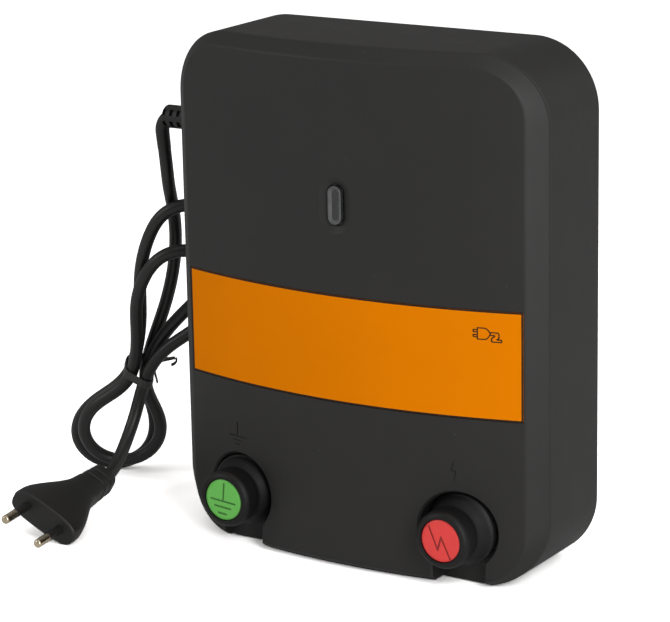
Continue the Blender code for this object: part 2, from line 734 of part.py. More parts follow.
def charging_transformer():
    """Small laminated transformer that charges the capacitors: coil with a core frame round it."""
    back = BOARD_DEPTH - FIT
    front = back - CHARGER_DEPTH
    half = CHARGER_COIL_WIDTH / 2
    tall = CHARGER_COIL_HEIGHT / 2
    coil = rounded(CHARGER_X - half, CHARGER_X + half, CHARGER_Z - tall, CHARGER_Z + tall, 2 * PIECE_ROUND)
    half = CHARGER_WIDTH / 2
    tall = CHARGER_HEIGHT / 2
    frame = rounded(CHARGER_X - half, CHARGER_X + half, CHARGER_Z - tall, CHARGER_Z + tall, PIECE_ROUND)
    inset = (CHARGER_DEPTH - CHARGER_CORE_DEPTH) / 2
    piece = place("charging_transformer", extruded("charger_coil", coil, front, back), WINDING_TAPE)
    join(piece, extruded("charger_frame", frame, front + inset, back - inset))


def heat_sink():
    """Finned extrusion that stands on the board, with the thyristor on its flat side."""
    back = BOARD_DEPTH - FIT
    front = back - SINK_DEPTH
    pitch = (SINK_DEPTH - SINK_FIN) / (SINK_FINS - 1)
    outline = [(SINK_X, front)]
    for i in range(SINK_FINS):
        start = front + pitch * i
        outline += [(SINK_X + SINK_REACH, start), (SINK_X + SINK_REACH, start + SINK_FIN)]
        if i < SINK_FINS - 1:
            outline += [(SINK_X + SINK_BASE, start + SINK_FIN), (SINK_X + SINK_BASE, start + pitch)]
    outline.append((SINK_X, back))
    rings = [[(x, at(depth), z) for x, depth in outline] for z in (SINK_LOW, SINK_LOW + SINK_HEIGHT)]
    place("heat_sink", loft("sink_fins", rings, strips=False), SINK_ALUMINIUM)

    middle = SINK_LOW + SINK_HEIGHT / 2
    side = SINK_X - FIT
    half = THYRISTOR_WIDTH / 2
    body = rectangle(side - THYRISTOR_THICK, side, middle - half, middle + half)
    body_back = back - THYRISTOR_BODY / 2
    body_mesh = extruded("thyristor_body", body, body_back - THYRISTOR_BODY, body_back)
    chip = place("thyristor", body_mesh, CHIP_BLACK)
    for leg in (-1, 0, 1):
        x = side - THYRISTOR_THICK / 2
        z = middle + leg * LEG_PITCH
        outline = rectangle(x - LEG_HALF, x + LEG_HALF, z - LEG_HALF, z + LEG_HALF)
        join(chip, extruded(f"thyristor_leg_{leg}", outline, body_back - WALL, back))


def board_pieces():
    """Fuse, filter capacitor and the block where the mains lead ends."""
    half = FUSE_LENGTH / 2
    glass = half - FUSE_CAP
    profile = ((-half, FUSE_CAP_RADIUS), (-glass, FUSE_CAP_RADIUS), (-glass, FUSE_RADIUS),
               (glass, FUSE_RADIUS), (glass, FUSE_CAP_RADIUS), (half, FUSE_CAP_RADIUS))
    fuse_place = (FUSE_X, at(BOARD_DEPTH - FIT - FUSE_CAP_RADIUS), FUSE_Z)
    fuse = place("mains_fuse", turned("fuse", profile, SMALL_SIDES), ZINC, fuse_place)
    fuse.rotation_euler.z = math.pi / 2

    width, height, depth = FILTER_SIZE
    outline = rounded(FILTER_X - width / 2, FILTER_X + width / 2, FILTER_Z - height / 2,
                      FILTER_Z + height / 2, PIECE_ROUND)
    back = BOARD_DEPTH - FIT
    place("filter_capacitor", extruded("filter_box", outline, back - depth, back), FILTER_YELLOW)

    outline = rectangle(BLOCK_X - BLOCK_WIDTH / 2, BLOCK_X + BLOCK_WIDTH / 2,
                        GLAND_Z - BLOCK_HEIGHT / 2, GLAND_Z + BLOCK_HEIGHT / 2)
    place("mains_terminal_block", extruded("block_body", outline, back - BLOCK_DEPTH, back), BLOCK_GREEN)


# Output transformer
def output_transformer():
    """Laminated core with two windows, a winding round its middle leg, and a clamp with feet."""
    back = CORE_DEPTH + CORE_THICK
    top = CORE_LOW + CORE_HEIGHT
    block = extruded("core_block", rectangle(-CORE_HALF, CORE_HALF, CORE_LOW, top), CORE_DEPTH, back)
    core = place("output_transformer_core", block, CORE_STEEL)
    window_low = CORE_LOW + CORE_YOKE
    window_high = top - CORE_YOKE
    for side in SIDES:
        near = side * CORE_LEG
        far = side * (CORE_LEG + CORE_WINDOW)
        window = rectangle(min(near, far), max(near, far), window_low, window_high)
        cut(core, extruded(f"core_window_{side}", window, CORE_DEPTH - WALL, back + WALL))

    low = window_low + FIT
    high = window_high - FIT
    half = CORE_LEG + CORE_WINDOW - FIT
    plan = rounded(-half, half, CORE_DEPTH - WINDING_BULGE, back + WINDING_BULGE, WINDING_ROUND)
    rings = [[(x, at(depth), z) for x, depth in plan] for z in (low, high)]
    body = loft("winding_body", rings, strips=False)
    winding = place("output_transformer_winding", body, WINDING_TAPE)
    leg = CORE_LEG + FIT
    hole = rectangle(-leg, leg, low - WALL, high + WALL)
    cut(winding, extruded("winding_hole", hole, CORE_DEPTH - FIT, back + FIT))

    inner = CORE_HALF + FIT
    outer = inner + CLAMP_THICK
    under = top + FIT
    over = under + CLAMP_THICK
    outline = [(-outer, CORE_LOW), (-outer, over), (outer, over), (outer, CORE_LOW),
               (inner, CORE_LOW), (inner, under), (-inner, under), (-inner, CORE_LOW)]
    clamp = place("transformer_clamp", extruded("clamp_frame", outline, CORE_DEPTH, back), ZINC)
    foot_front = back + FIT
    foot_back = foot_front + CLAMP_THICK
    for side, (x, z) in zip(SIDES, clamp_posts()):
        edges = (side * inner, side * (outer + CLAMP_FOOT))
        tall = CLAMP_FOOT_HEIGHT / 2
        foot = rectangle(min(edges), max(edges), z - tall, z + tall)
        join(clamp, extruded(f"clamp_foot_{side}", foot, back - CLAMP_THICK, foot_back))
        hole = peg(f"clamp_hole_{side}", SMALL_SCREW_RADIUS + FIT, CORE_DEPTH, foot_back + WALL)
        cut(clamp, hole, (x, 0.0, z))
    small_screws("clamp_screw", clamp_posts(), back - CLAMP_THICK)


# Terminals
def terminal(name, x, disc_finish):
    """Stud, nut, contact plate, clamp washer, knob and coloured disc of one terminal."""
    axis = (x, 0.0, KNOB_Z)
    bore = STUD_RADIUS + FIT
    contact_front = POCKET_FLOOR - FIT - CONTACT_THICK
    washer_front = contact_front - FIT - WASHER_THICK
    skirt_back = washer_front - FIT
    skirt_front = skirt_back - SKIRT_THICK
    nut_front = POCKET_FLOOR + WALL + FIT
    stud_front = skirt_back - STUD_COVER * 2
    stud = ((at(stud_front), STUD_RADIUS - FIT), (at(stud_front + FIT), STUD_RADIUS),
            (at(stud_front + STUD_LENGTH), STUD_RADIUS))
    place(f"{name}_stud", turned("stud", stud, SMALL_SIDES), ZINC, axis)
    place(f"{name}_contact", bored("contact", CONTACT_RADIUS, bore, at(contact_front),
                                   at(contact_front + CONTACT_THICK)), BRASS, axis)
    place(f"{name}_washer", bored("washer", WASHER_RADIUS, bore, at(washer_front),
                                  at(washer_front + WASHER_THICK)), ZINC, axis)

    across = NUT_FLATS / math.sqrt(3)
    turns = [math.pi / 3 * i for i in range(6)]
    hexagon = [(across * math.cos(t), across * math.sin(t)) for t in turns]
    nut_mesh = extruded(f"{name}_hexagon", hexagon, nut_front, nut_front + NUT_THICK)
    nut = place(f"{name}_nut", nut_mesh, ZINC, axis)
    cut(nut, peg(f"{name}_nut_bore", bore, nut_front - WALL, nut_front + NUT_THICK + WALL), axis)

    front = -KNOB_PROUD
    disc_front = front + DISC_SUNK
    seat = disc_front + DISC_THICK + FIT
    shoulder = KNOB_CAP - KNOB_RIM
    bore_end = stud_front - STUD_COVER / 3
    flare_middle = (KNOB_SKIRT + KNOB_WAIST) / 2 - FLARE_SAG
    waist_back = skirt_front - FLARE_DEPTH
    waist_front = waist_back - WAIST_DEPTH
    disc_room = DISC_RADIUS + FIT
    profile = ((bore_end, bore), (skirt_back, bore), (skirt_back, KNOB_SKIRT), (skirt_front, KNOB_SKIRT),
               (skirt_front - SKIRT_ROUND, KNOB_SKIRT - SKIRT_ROUND),
               (skirt_front - FLARE_DEPTH / 2, flare_middle), (waist_back, KNOB_WAIST),
               (waist_front, KNOB_WAIST), (waist_front - CAP_SLOPE, KNOB_CAP), (front + shoulder, KNOB_CAP),
               (front + CAP_ROUND, KNOB_CAP - CAP_ROUND), (front, KNOB_RIM), (front, disc_room),
               (seat, disc_room))
    knob_points = [(at(depth), radius) for depth, radius in profile]
    knob_mesh = turned(f"{name}_grip", knob_points)
    place(f"{name}_knob", knob_mesh, KNOB_BLACK, axis)
    disc = ((at(disc_front), DISC_RADIUS), (at(disc_front + DISC_THICK), DISC_RADIUS))
    place(f"{name}_disc", turned("disc", disc), disc_finish, axis)


# Cords and leads
def through(points, step):
    """Points at an even step along a smooth curve through the route's own points, with square ends."""
    route = [Vector(p) for p in points]
    padded = [2 * route[0] - route[1], *route, 2 * route[-1] - route[-2]]
    fine = []
    for before, start, end, after in zip(padded, padded[1:], padded[2:], padded[3:]):
        bend = 2 * before - 5 * start + 4 * end - after
        twist = 3 * start - before - 3 * end + after
        for i in range(CURVE_STEPS):
            t = i / CURVE_STEPS
            fine.append(0.5 * (2 * start + (end - before) * t + bend * t ** 2 + twist * t ** 3))
    fine.append(route[-1])
    run = [0.0]
    for a, b in zip(fine, fine[1:]):
        run.append(run[-1] + (b - a).length)
    count = max(3, round(run[-1] / step))
    spaced = []
    place_now = 0
    for i in range(count + 1):
        goal = run[-1] * i / count
        while place_now < len(run) - 2 and run[place_now + 1] < goal:
            place_now += 1
        share = (goal - run[place_now]) / (run[place_now + 1] - run[place_now])
        spaced.append(fine[place_now].lerp(fine[place_now + 1], share))
    first = route[0].lerp(route[1], SQUARE_END)
    last = route[-1].lerp(route[-2], SQUARE_END)
    return [spaced[0], first, *spaced[1:-1], last, spaced[-1]]


def tube(name, points, radius, finish, resolution):
    """Round tube with closed ends along given points."""
    curve = bpy.data.curves.new(name, "CURVE")
    curve.dimensions = "3D"
    curve.bevel_depth = radius
    curve.bevel_resolution = resolution
    curve.use_fill_caps = True
    line = curve.splines.new("POLY")
    line.points.add(len(points) - 1)
    for point, where in zip(line.points, points):
        point.co = (*where, 1.0)
    line.use_smooth = True
    curve.materials.append(finish)
    piece = bpy.data.objects.new(name, curve)
    bpy.context.scene.collection.objects.link(piece)
    return piece


def inner_leads():
    """Wires from the transformer to the studs and the board, and the mains lead's inner end."""
    skirt_back = POCKET_FLOOR - CONTACT_THICK - WASHER_THICK - 3 * FIT
    stud_end = skirt_back - STUD_COVER * 2 + STUD_LENGTH
    coil_half = CORE_LEG + CORE_WINDOW - FIT
    coil_z = CORE_LOW + CORE_HEIGHT / 2
    coil_front = CORE_DEPTH - WINDING_BULGE / 2
    for (name, x), finish in zip(TERMINALS, (LEAD_GREEN, LEAD_RED)):
        side = 1 if x > 0 else -1
        gap = FIT + LEAD_RADIUS
        route = [(x, at(stud_end + 2 * FIT), KNOB_Z), (x, at(stud_end + FIT + 2 * gap), KNOB_Z),
                 ((x + side * coil_half) / 2, at(coil_front + 2 * gap), (KNOB_Z + coil_z) / 2),
                 (side * (coil_half + 3 * gap), at(coil_front), coil_z),
                 (side * (coil_half + FIT), at(coil_front), coil_z)]
        tube(f"{name}_lead", through(route, 3 * LEAD_RADIUS), LEAD_RADIUS, finish, 2)

    coil_top = CORE_LOW + CORE_HEIGHT - CORE_YOKE - FIT
    for i, x in enumerate(PRIMARY_X, 1):
        rise = BOARD_LOW + 2 * LEAD_RADIUS
        route = [(x, at(coil_front), coil_top + FIT), (x, at(coil_front), coil_top + 4 * LEAD_RADIUS),
                 (x, at((coil_front + BOARD_DEPTH) / 2), rise - 2 * LEAD_RADIUS),
                 (x, at(BOARD_DEPTH - 4 * LEAD_RADIUS), rise), (x, at(BOARD_DEPTH - FIT), rise)]
        tube(f"primary_lead_{i}", through(route, 3 * LEAD_RADIUS), LEAD_RADIUS, LEAD_RED, 2)

    start = gland_spot(-WALL - GLAND_FLANGE_THICK - 2 * FIT)[0]
    end = Vector((BLOCK_X - BLOCK_WIDTH / 2 - FIT, start.y, start.z))
    tube("mains_lead", [start.lerp(end, i / 3) for i in range(4)], CORD_RADIUS, CORD_BLACK, 2)


def gland_spot(along):
    """Place and heading on the strain relief, measured outwards from the wall."""
    wall = Vector((-CASE_HALF, at(GLAND_DEPTH), GLAND_Z))
    if along <= GLAND_STRAIGHT:
        return wall + Vector((-along, 0.0, 0.0)), Vector((-1.0, 0.0, 0.0))
    turn = (along - GLAND_STRAIGHT) / GLAND_BEND
    bend = Vector((-GLAND_STRAIGHT - GLAND_BEND * math.sin(turn), 0.0, GLAND_BEND * (math.cos(turn) - 1)))
    return wall + bend, Vector((-math.cos(turn), 0.0, -math.sin(turn)))


def gland_end():
    return GLAND_STRAIGHT + GLAND_BEND * math.pi / 2


def ribbed(first, last, count):
    """Stages of a ribbed tail: distance along, share of the tail, and 1 on the floor of a groove."""
    pitch = (last - first) / (count + 1)
    stages = []
    for i in range(1, count + 1):
        middle = first + pitch * i
        edge = pitch * RIB_EDGE
        floor = pitch * RIB_FLOOR
        stages += [(middle - edge, 0), (middle - floor, 1), (middle + floor, 1), (middle + edge, 0)]
    stages.append((last, 0))
    return [(along, (along - first) / (last - first), sunk) for along, sunk in stages]


def cord_gland():
    """Moulded strain relief: flanges on both sides of the wall and a ribbed tail that bends down."""
    inside = -WALL - FIT
    stages = [(inside - GLAND_FLANGE_THICK, GLAND_FLANGE), (inside, GLAND_FLANGE), (inside, GLAND_NECK),
              (FIT, GLAND_NECK), (FIT, GLAND_FLANGE), (FIT + GLAND_FLANGE_THICK, GLAND_FLANGE),
              (FIT + GLAND_FLANGE_THICK, GLAND_NECK)]
    taper = GLAND_NECK - GLAND_TIP_RADIUS
    for along, share, sunk in ribbed(FIT + GLAND_FLANGE_THICK, gland_end(), GLAND_RIBS):
        stages.append((along, GLAND_NECK - taper * share - GLAND_GROOVE * sunk))
    rings = []
    for along, radius in stages:
        spot, heading = gland_spot(along)
        across = Vector((0.0, 1.0, 0.0))
        over = heading.cross(across)
        turns = [2 * math.pi * i / SMALL_SIDES for i in range(SMALL_SIDES)]
        rings.append([tuple(spot + radius * (across * math.cos(t) + over * math.sin(t))) for t in turns])
    place("cord_gland", loft("gland_body", rings, strips=False), CORD_BLACK)


def hank_frame():
    """Middle of the waist, and the hank's directions along, across and towards the front."""
    along = Vector(HANK_AXIS).normalized()
    side = Vector(HANK_SIDE)
    across = (side - along * side.dot(along)).normalized()
    return beside(HANK_TIE), along, across, across.cross(along)


def lobe_places(reach):
    """Places along and across one lobe: a run out, a round fold and a run back."""
    run = reach - HANK_FOLD
    spread = HANK_FOLD - HANK_WAIST
    shares = [i / RUN_POINTS for i in range(RUN_POINTS)]
    out = [(run * share, HANK_WAIST + spread * sway(share)) for share in shares]
    turns = [math.pi * i / FOLD_STEPS for i in range(FOLD_STEPS + 1)]
    fold = [(run + HANK_FOLD * math.sin(t), HANK_FOLD * math.cos(t)) for t in turns]
    back = [(along, -across) for along, across in reversed(out)]
    return out + fold + back


def hank_points():
    """Two loops of the lead: lower and upper lobes in turn, climbing by half a pitch in each."""
    tie, along, across, front = hank_frame()
    points = []
    for lobe, (reach, lean) in enumerate(zip(HANK_REACH, HANK_LEAN)):
        way = -1 if lobe % 2 == 0 else 1
        places = lobe_places(reach)
        for i, (out, aside) in enumerate(places):
            shift = lean * smoothstep(out / reach)
            climb = HANK_PITCH * ((lobe + i / (len(places) - 1)) / 2 - 1)
            points.append(tie + along * out * way - across * (aside * way - shift) + front * climb)
        if lobe < len(HANK_REACH) - 1:
            points.pop()
    straight = along * 2 * CORD_RADIUS
    return [points[0] + straight, *points, points[-1] - straight]


def least_gap(points, radius):
    """Least clear distance between parts of a tube that are not neighbours along it."""
    run = [0.0]
    for a, b in zip(points, points[1:]):
        run.append(run[-1] + (b - a).length)
    apart = 8 * radius
    pairs = [(points[i] - points[j]).length for i in range(len(points)) for j in range(i)
             if run[i] - run[j] > apart]
    return min(pairs) - 2 * radius


def mains_cord():
    """The lead from the strain relief, through the hank, to the plug."""
    hank = hank_points()
    along = hank_frame()[1]
    tube("cord_hank", hank, CORD_RADIUS, CORD_BLACK, 1)
    fine = through(hank, CORD_RADIUS / 2)
    print("least gap of the hank to itself, mm:", round(1000 * least_gap(fine, CORD_RADIUS), 2))

    start = gland_spot(gland_end() + FIT)[0]
    join_top = hank[0] + along * FIT
    down = Vector((0.0, 0.0, -CORD_LEAD_IN))
    route = [start, start + down]
    route += [beside(spot) for spot in CORD_DOWN if spot[2] < (start + 2 * down).z]
    route += [join_top + along * CORD_LEAD_IN, join_top]
    tube("cord_from_case", through(route, CORD_STEP), CORD_RADIUS, CORD_BLACK, 3)

    plug_back = plug_empty.matrix_basis @ Vector((0.0, PLUG_LENGTH + FIT, 0.0))
    heading = (plug_empty.matrix_basis.to_3x3() @ Vector((0.0, 1.0, 0.0))).normalized()
    join_low = hank[-1] - along * FIT
    route = [join_low, join_low - along * CORD_RUN_OUT]
    route += [beside(spot) for spot in CORD_ALONG]
    route += [plug_back + heading * CORD_LEAD_IN, plug_back]
    tube("cord_to_plug", through(route, PLUG_CORD_STEP), CORD_RADIUS, CORD_BLACK, 3)

    cord_tie()


def cord_tie():
    """Wire tie that winds once round the waist of the hank and ends in two tails."""
    tie, along, across, front = hank_frame()
    strands = range(len(HANK_REACH) + 1)
    runs = [(HANK_WAIST * (1 - 2 * (k % 2)), HANK_PITCH * (k / 2 - 1)) for k in strands]
    clear = CORD_RADIUS + TIE_RADIUS + 3 * FIT
    wrap = []
    for i in range(TIE_STEPS + 1):
        turn = 2 * math.pi * i / TIE_STEPS
        aside = math.cos(turn)
        ahead = math.sin(turn)
        outer = max(runs, key=lambda run: run[0] * aside + run[1] * ahead)
        spot = tie + along * TIE_RISE * (i / TIE_STEPS - 0.5)
        wrap.append(spot + across * (outer[0] + clear * aside) + front * (outer[1] + clear * ahead))
    out = (2 * across + along).normalized()
    down = (across - 2 * along).normalized()
    shares = (1 / 3, 2 / 3, 1.0)
    upper_tail = [wrap[-1] + out * TIE_TAIL * share for share in shares]
    lower_tail = [wrap[0] + down * TIE_TAIL * share for share in reversed(shares)]
    tube("cord_tie", lower_tail + wrap + upper_tail, TIE_RADIUS, TIE_BLACK, 1)


# Plug
def plug_section(half_width, half_thick, depth):
    """Rounded outline across the plug at one depth behind its front."""
    ring = []
    for i in range(PLUG_SIDES):
        turn = 2 * math.pi * i / PLUG_SIDES
        across = math.copysign(abs(math.cos(turn)) ** PLUG_FULLNESS, math.cos(turn))
        over = math.copysign(abs(math.sin(turn)) ** PLUG_FULLNESS, math.sin(turn))
        ring.append((half_width * across, depth, half_thick * over))
    return ring


def plug_stages():
    """Depth, half width and half thickness along the plug: round front, taper and ribbed tail."""
    turns = [math.radians(a) for a in (0, 30, 60, 90)]
    edge = [(PLUG_ROUND * (1 - math.cos(t)), PLUG_ROUND * (1 - math.sin(t))) for t in turns]
    stages = [(depth, PLUG_HALF_WIDTH - inset, PLUG_HALF_THICK - inset) for depth, inset in edge]
    for i in range(TAPER_STEPS + 1):
        share = i / TAPER_STEPS
        narrowed = smoothstep(share)
        depth = PLUG_STRAIGHT + (PLUG_TAPER_END - PLUG_STRAIGHT) * share
        half_width = PLUG_HALF_WIDTH + (PLUG_TAIL_WIDTH - PLUG_HALF_WIDTH) * narrowed
        stages.append((depth, half_width, PLUG_HALF_THICK + (PLUG_TAIL_THICK - PLUG_HALF_THICK) * narrowed))
    for depth, share, sunk in ribbed(PLUG_TAPER_END, PLUG_LENGTH, PLUG_RIBS):
        groove = PLUG_GROOVE * sunk
        half_width = PLUG_TAIL_WIDTH + (PLUG_TAIL - PLUG_TAIL_WIDTH) * share - groove
        stages.append((depth, half_width, PLUG_TAIL_THICK + (PLUG_TAIL - PLUG_TAIL_THICK) * share - groove))
    return stages


def plug(holder):
    """Flat two-pin plug: moulded body with sleeved pin roots and a ribbed tail, and metal pins."""
    rings = [plug_section(half_width, half_thick, depth) for depth, half_width, half_thick in plug_stages()]
    body = place("plug_body", loft("plug_moulding", rings, strips=False), CORD_BLACK, parent=holder)
    for i, side in enumerate(SIDES, 1):
        axis = (side * PIN_SPACING / 2, 0.0, 0.0)
        sleeve = ((-SLEEVE_LENGTH, PIN_RADIUS), (PIN_RADIUS * 2, PIN_RADIUS))
        join(body, turned(f"sleeve_{i}", sleeve, SMALL_SIDES), axis)
        shoulder = -SLEEVE_LENGTH - FIT
        spigot_end = SPIGOT_LENGTH - SLEEVE_LENGTH
        room = SPIGOT_RADIUS + FIT
        bore = ((shoulder, room), (spigot_end + FIT, room))
        cut(body, turned(f"pin_bore_{i}", bore, SMALL_SIDES), axis)
        turns = (0.0, math.pi / 4, math.pi / 2)
        nose = [(PIN_NOSE * (1 - math.cos(t)), PIN_NOSE * (1 - math.sin(t))) for t in turns]
        pin = [(along - PIN_LENGTH, PIN_RADIUS - inset) for along, inset in nose]
        pin += [(shoulder, PIN_RADIUS), (shoulder, SPIGOT_RADIUS), (spigot_end, SPIGOT_RADIUS)]
        place(f"plug_pin_{i}", turned(f"pin_{i}", pin, SMALL_SIDES), BRASS, axis, parent=holder)


front_cover()
front_label()
led_lens()
rear_case()
case_screws()
circuit_board()
storage_capacitors()
charging_transformer()
heat_sink()
board_pieces()
output_transformer()
for terminal_name, terminal_x in TERMINALS:
    terminal(terminal_name, terminal_x, DISC_GREEN if terminal_name == "earth" else DISC_RED)
inner_leads()
cord_gland()

plug_empty = bpy.data.objects.new("plug_place", None)
plug_empty.rotation_mode = "YXZ"
plug_empty.location = beside(PLUG_FRONT)
plug_empty.rotation_euler = PLUG_TURN
bpy.context.scene.collection.objects.link(plug_empty)
plug(plug_empty)
mains_cord()
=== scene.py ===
import json
from math import asin, atan, copysign, cos, pi, radians, sin

import bmesh
import bpy
from bpy.props import FloatProperty, FloatVectorProperty, IntProperty, PointerProperty
from mathutils import Matrix, Vector


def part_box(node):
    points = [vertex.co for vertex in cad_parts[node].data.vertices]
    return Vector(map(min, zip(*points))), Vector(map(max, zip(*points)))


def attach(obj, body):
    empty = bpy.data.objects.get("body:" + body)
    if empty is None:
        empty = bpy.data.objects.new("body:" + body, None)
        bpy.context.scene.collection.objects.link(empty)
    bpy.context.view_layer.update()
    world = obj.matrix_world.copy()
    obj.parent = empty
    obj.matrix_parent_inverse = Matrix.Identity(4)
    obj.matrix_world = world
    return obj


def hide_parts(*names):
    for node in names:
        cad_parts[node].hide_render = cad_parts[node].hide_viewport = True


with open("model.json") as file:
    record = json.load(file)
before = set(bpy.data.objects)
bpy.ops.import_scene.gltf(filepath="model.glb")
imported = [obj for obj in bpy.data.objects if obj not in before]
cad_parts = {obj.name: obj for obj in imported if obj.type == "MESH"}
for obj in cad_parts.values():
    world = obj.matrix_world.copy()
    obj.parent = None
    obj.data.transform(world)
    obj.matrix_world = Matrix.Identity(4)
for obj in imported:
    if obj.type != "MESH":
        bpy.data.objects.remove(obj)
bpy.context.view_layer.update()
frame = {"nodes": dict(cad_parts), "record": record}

bl_info = {
    "name": "Fence energizer looks",
    "version": (1, 0, 0),
    "blender": (4, 5, 0),
    "location": "View3D > Sidebar > Energizer",
    "description": "Finishes and finely modelled pieces for a mains fence energizer",
    "category": "Object",
}

# Sizes taken from the frame, in metres
CASE_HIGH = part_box("rear_case")[1]
CASE_HALF = CASE_HIGH.x
CASE_HEIGHT = CASE_HIGH.z
FACE_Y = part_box("front_cover")[0].y
CASE_DEPTH = CASE_HIGH.y - FACE_Y

# Case and cover much as the solids have them, with the gap that fits pieces together
FIT = 0.0003
WALL = 0.0025
CASE_CORNER = 0.030
BACK_ROUND = 0.004
FACE_BOW = 0.0124
FACE_CORNER = 0.021
BEVEL_SIDE = 0.007
BEVEL_TOP = 0.0055
BEVEL_BOTTOM = 0.0035
BEVEL_DEPTH = 0.0062
BEVEL_END = 0.0053
BEVEL_SOFT = (0.0012, 0.0030)
SEAM_ROUND = 0.0004
LIP_END = BEVEL_DEPTH + 0.003
LIP_INSET = WALL + FIT
CAVITY_INSET = LIP_INSET + 0.0015
FACE_HALF = CASE_HALF - BEVEL_SIDE
CASE_SCREW_X = CASE_HALF - 0.016
CASE_SCREW_Z = (0.062, CASE_HEIGHT - 0.030)
CASE_SCREW_SEAT = 0.032
TOWER_RADIUS = 0.0056
WELL_RADIUS = 0.0037
HANGER_X = 0.050
HANGER_Z = CASE_HEIGHT - 0.044
HANGER_HEAD = 0.005
HANGER_NECK = 0.0026
HANGER_RISE = 0.010
HANGER_ROOM = 0.0045

# Case screw: a pan head with a cross, a shank and a blunt tip
HEAD_RADIUS = 0.0034
HEAD_THICK = 0.0026
HEAD_FLAT = 0.72
HEAD_SIDE = 0.6
SHANK_RADIUS = 0.0017
SHANK_LENGTH = 0.0165
TIP = (-0.0170, 0.0006)
CROSS = (0.0019, 0.0004)
CROSS_DEPTH = 0.0013
SCREW_SOFT = 0.0004

# Band and indicator
LABEL_HALF = FACE_HALF - 0.0009
LABEL_LOW = 0.0756
LABEL_HIGH = 0.1235
LABEL_CORNER = 0.0008
LABEL_RECESS = 0.0008
LABEL_SHEET = 0.0005
# Width of the dark frame along the band's edge: painted shade of the gap where the band meets its recess
EDGE_SHADE_WIDTH = 0.0007
# How far the printed sign and the painted edge shade stand proud of the band and sink into it
PRINT_AND_SHADE_PROUD = FIT / 10
PRINT_AND_SHADE_SUNK = FIT / 2
LENS_SIZE = (0.0065, 0.0167)
LENS_Z = CASE_HEIGHT - 0.0677
LENS_FRONT = -0.0004
LENS_RIM = 0.0006
LENS_SLOPE = (0.0012, 0.0008)
LENS_GAP = 0.0007
LENS_FLANGE = 0.003
LENS_FLANGE_THICK = 0.0015
LENS_PIPE = (0.0052, 0.00523)
# Rings at the front of the lens whose faces take the painted highlight of its rim
LENS_HIGHLIGHT_RINGS = 3
DISH_TOP = (0.0172, 0.0256)
DISH_FLOOR = (0.0084, 0.0186)
DISH_DEPTH = 0.0016
DISH_SLOPE_END = 0.8
DISH_FLAT = 0.94
DISH_SOFT = 0.0008

# Terminals; the knob's flare is measured from its skirt, and its cap from its front
KNOB_X = CASE_HALF - 0.0366
KNOB_SPOTS = (-KNOB_X, KNOB_X)
KNOB_Z = 0.0252
KNOB_PROUD = 0.0092
KNOB_BORE = 0.014
KNOB_SOFT = 0.0006
SKIRT_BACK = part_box("earth_knob")[1].y - FACE_Y
SKIRT_THICK = 0.0030
SKIRT_RADIUS = 0.0163
KNOB_FLARE = ((0.0007, 0.0153), (0.0030, 0.0140), (0.0060, 0.0122), (0.0072, 0.0120), (0.0081, 0.0128))
KNOB_CAP = ((0.0023, 0.0128), (0.0008, 0.0120), (0.0, 0.0105))
DISC_RADIUS = 0.0093
DISC_THICK = 0.0012
DISC_SUNK = 0.0003
DISC_EDGE = (0.0004, 0.0009)
DISC_SOFT = 0.0002
POCKET_RADIUS = 0.0173
POCKET_FLOOR = 0.0140
POCKET_BACK = POCKET_FLOOR + WALL
POCKET_EDGE = 0.0009
POCKET_EDGE_REACH = (-3.0, 1.2)
CHANNEL_HALF = 0.0115
CHANNEL_ROUND = 0.0021
CHANNEL_START = 0.1
STUD_ROOM = 0.0033

# Signs: straight strokes on the discs and on the cover, about the middles of the knobs
SIGN_WIDTH = 0.00085
SIGN_DEPTH = 0.0003
SIGN_TURN = radians(-5.0)
SIGN_SHADE = 0.42
MOULDED_WIDTH = 0.00055
MOULDED_DEPTH = 0.00035
EARTH_SIGN = (((0.0, 0.0074), (0.0, -0.0006)), ((-0.0062, -0.0006), (0.0062, -0.0006)),
              ((-0.0040, -0.0034), (0.0040, -0.0034)), ((-0.0019, -0.0064), (0.0019, -0.0064)))
FENCE_SIGN = (((-0.0060, 0.0055), (-0.0009, -0.0040)), ((-0.0009, -0.0040), (0.0003, 0.0018)),
              ((0.0003, 0.0018), (0.0054, -0.0068)))
EARTH_MOULDED = (((-0.0012, 0.0319), (-0.0012, 0.0254)), ((-0.0062, 0.0254), (0.0038, 0.0254)),
                 ((-0.0035, 0.0236), (0.0011, 0.0236)), ((-0.0024, 0.0218), (0.0, 0.0218)))
FENCE_MOULDED = (((-0.0010, 0.0312), (-0.0024, 0.0272)), ((-0.0024, 0.0272), (-0.0002, 0.0268)),
                 ((-0.0002, 0.0268), (-0.0012, 0.0226)))

# Plain sign of a plug with its lead, drawn on the band: corners, and how far each line rounds them
PLUG_SIGN_SPOT = (0.0708, 0.1132)
PLUG_SIGN_SCALE = 0.00085
PLUG_SIGN_WIDTH = 0.00052
PLUG_SIGN = (
    (((-7.0, 2.0), (-9.1, 2.0), (-9.1, 0.9), (-7.0, 0.9)), 0.3),
    (((-7.0, -0.5), (-9.1, -0.5), (-9.1, -1.6), (-7.0, -1.6)), 0.3),
    (((-7.0, 3.0), (-2.3, 3.0), (-0.4, 0.3), (-2.3, -2.7), (-7.0, -2.7), (-7.0, 3.0)),
     (1.5, 0.9, 1.5, 0.3)),
    (((-0.6, 1.0), (3.7, 1.0), (3.7, -1.7), (2.5, -2.5), (5.0, -2.5), (5.0, -3.7), (0.0, -3.7),
      (0.0, -1.9), (2.1, -0.5), (-0.6, -0.4)), 1.4),
)

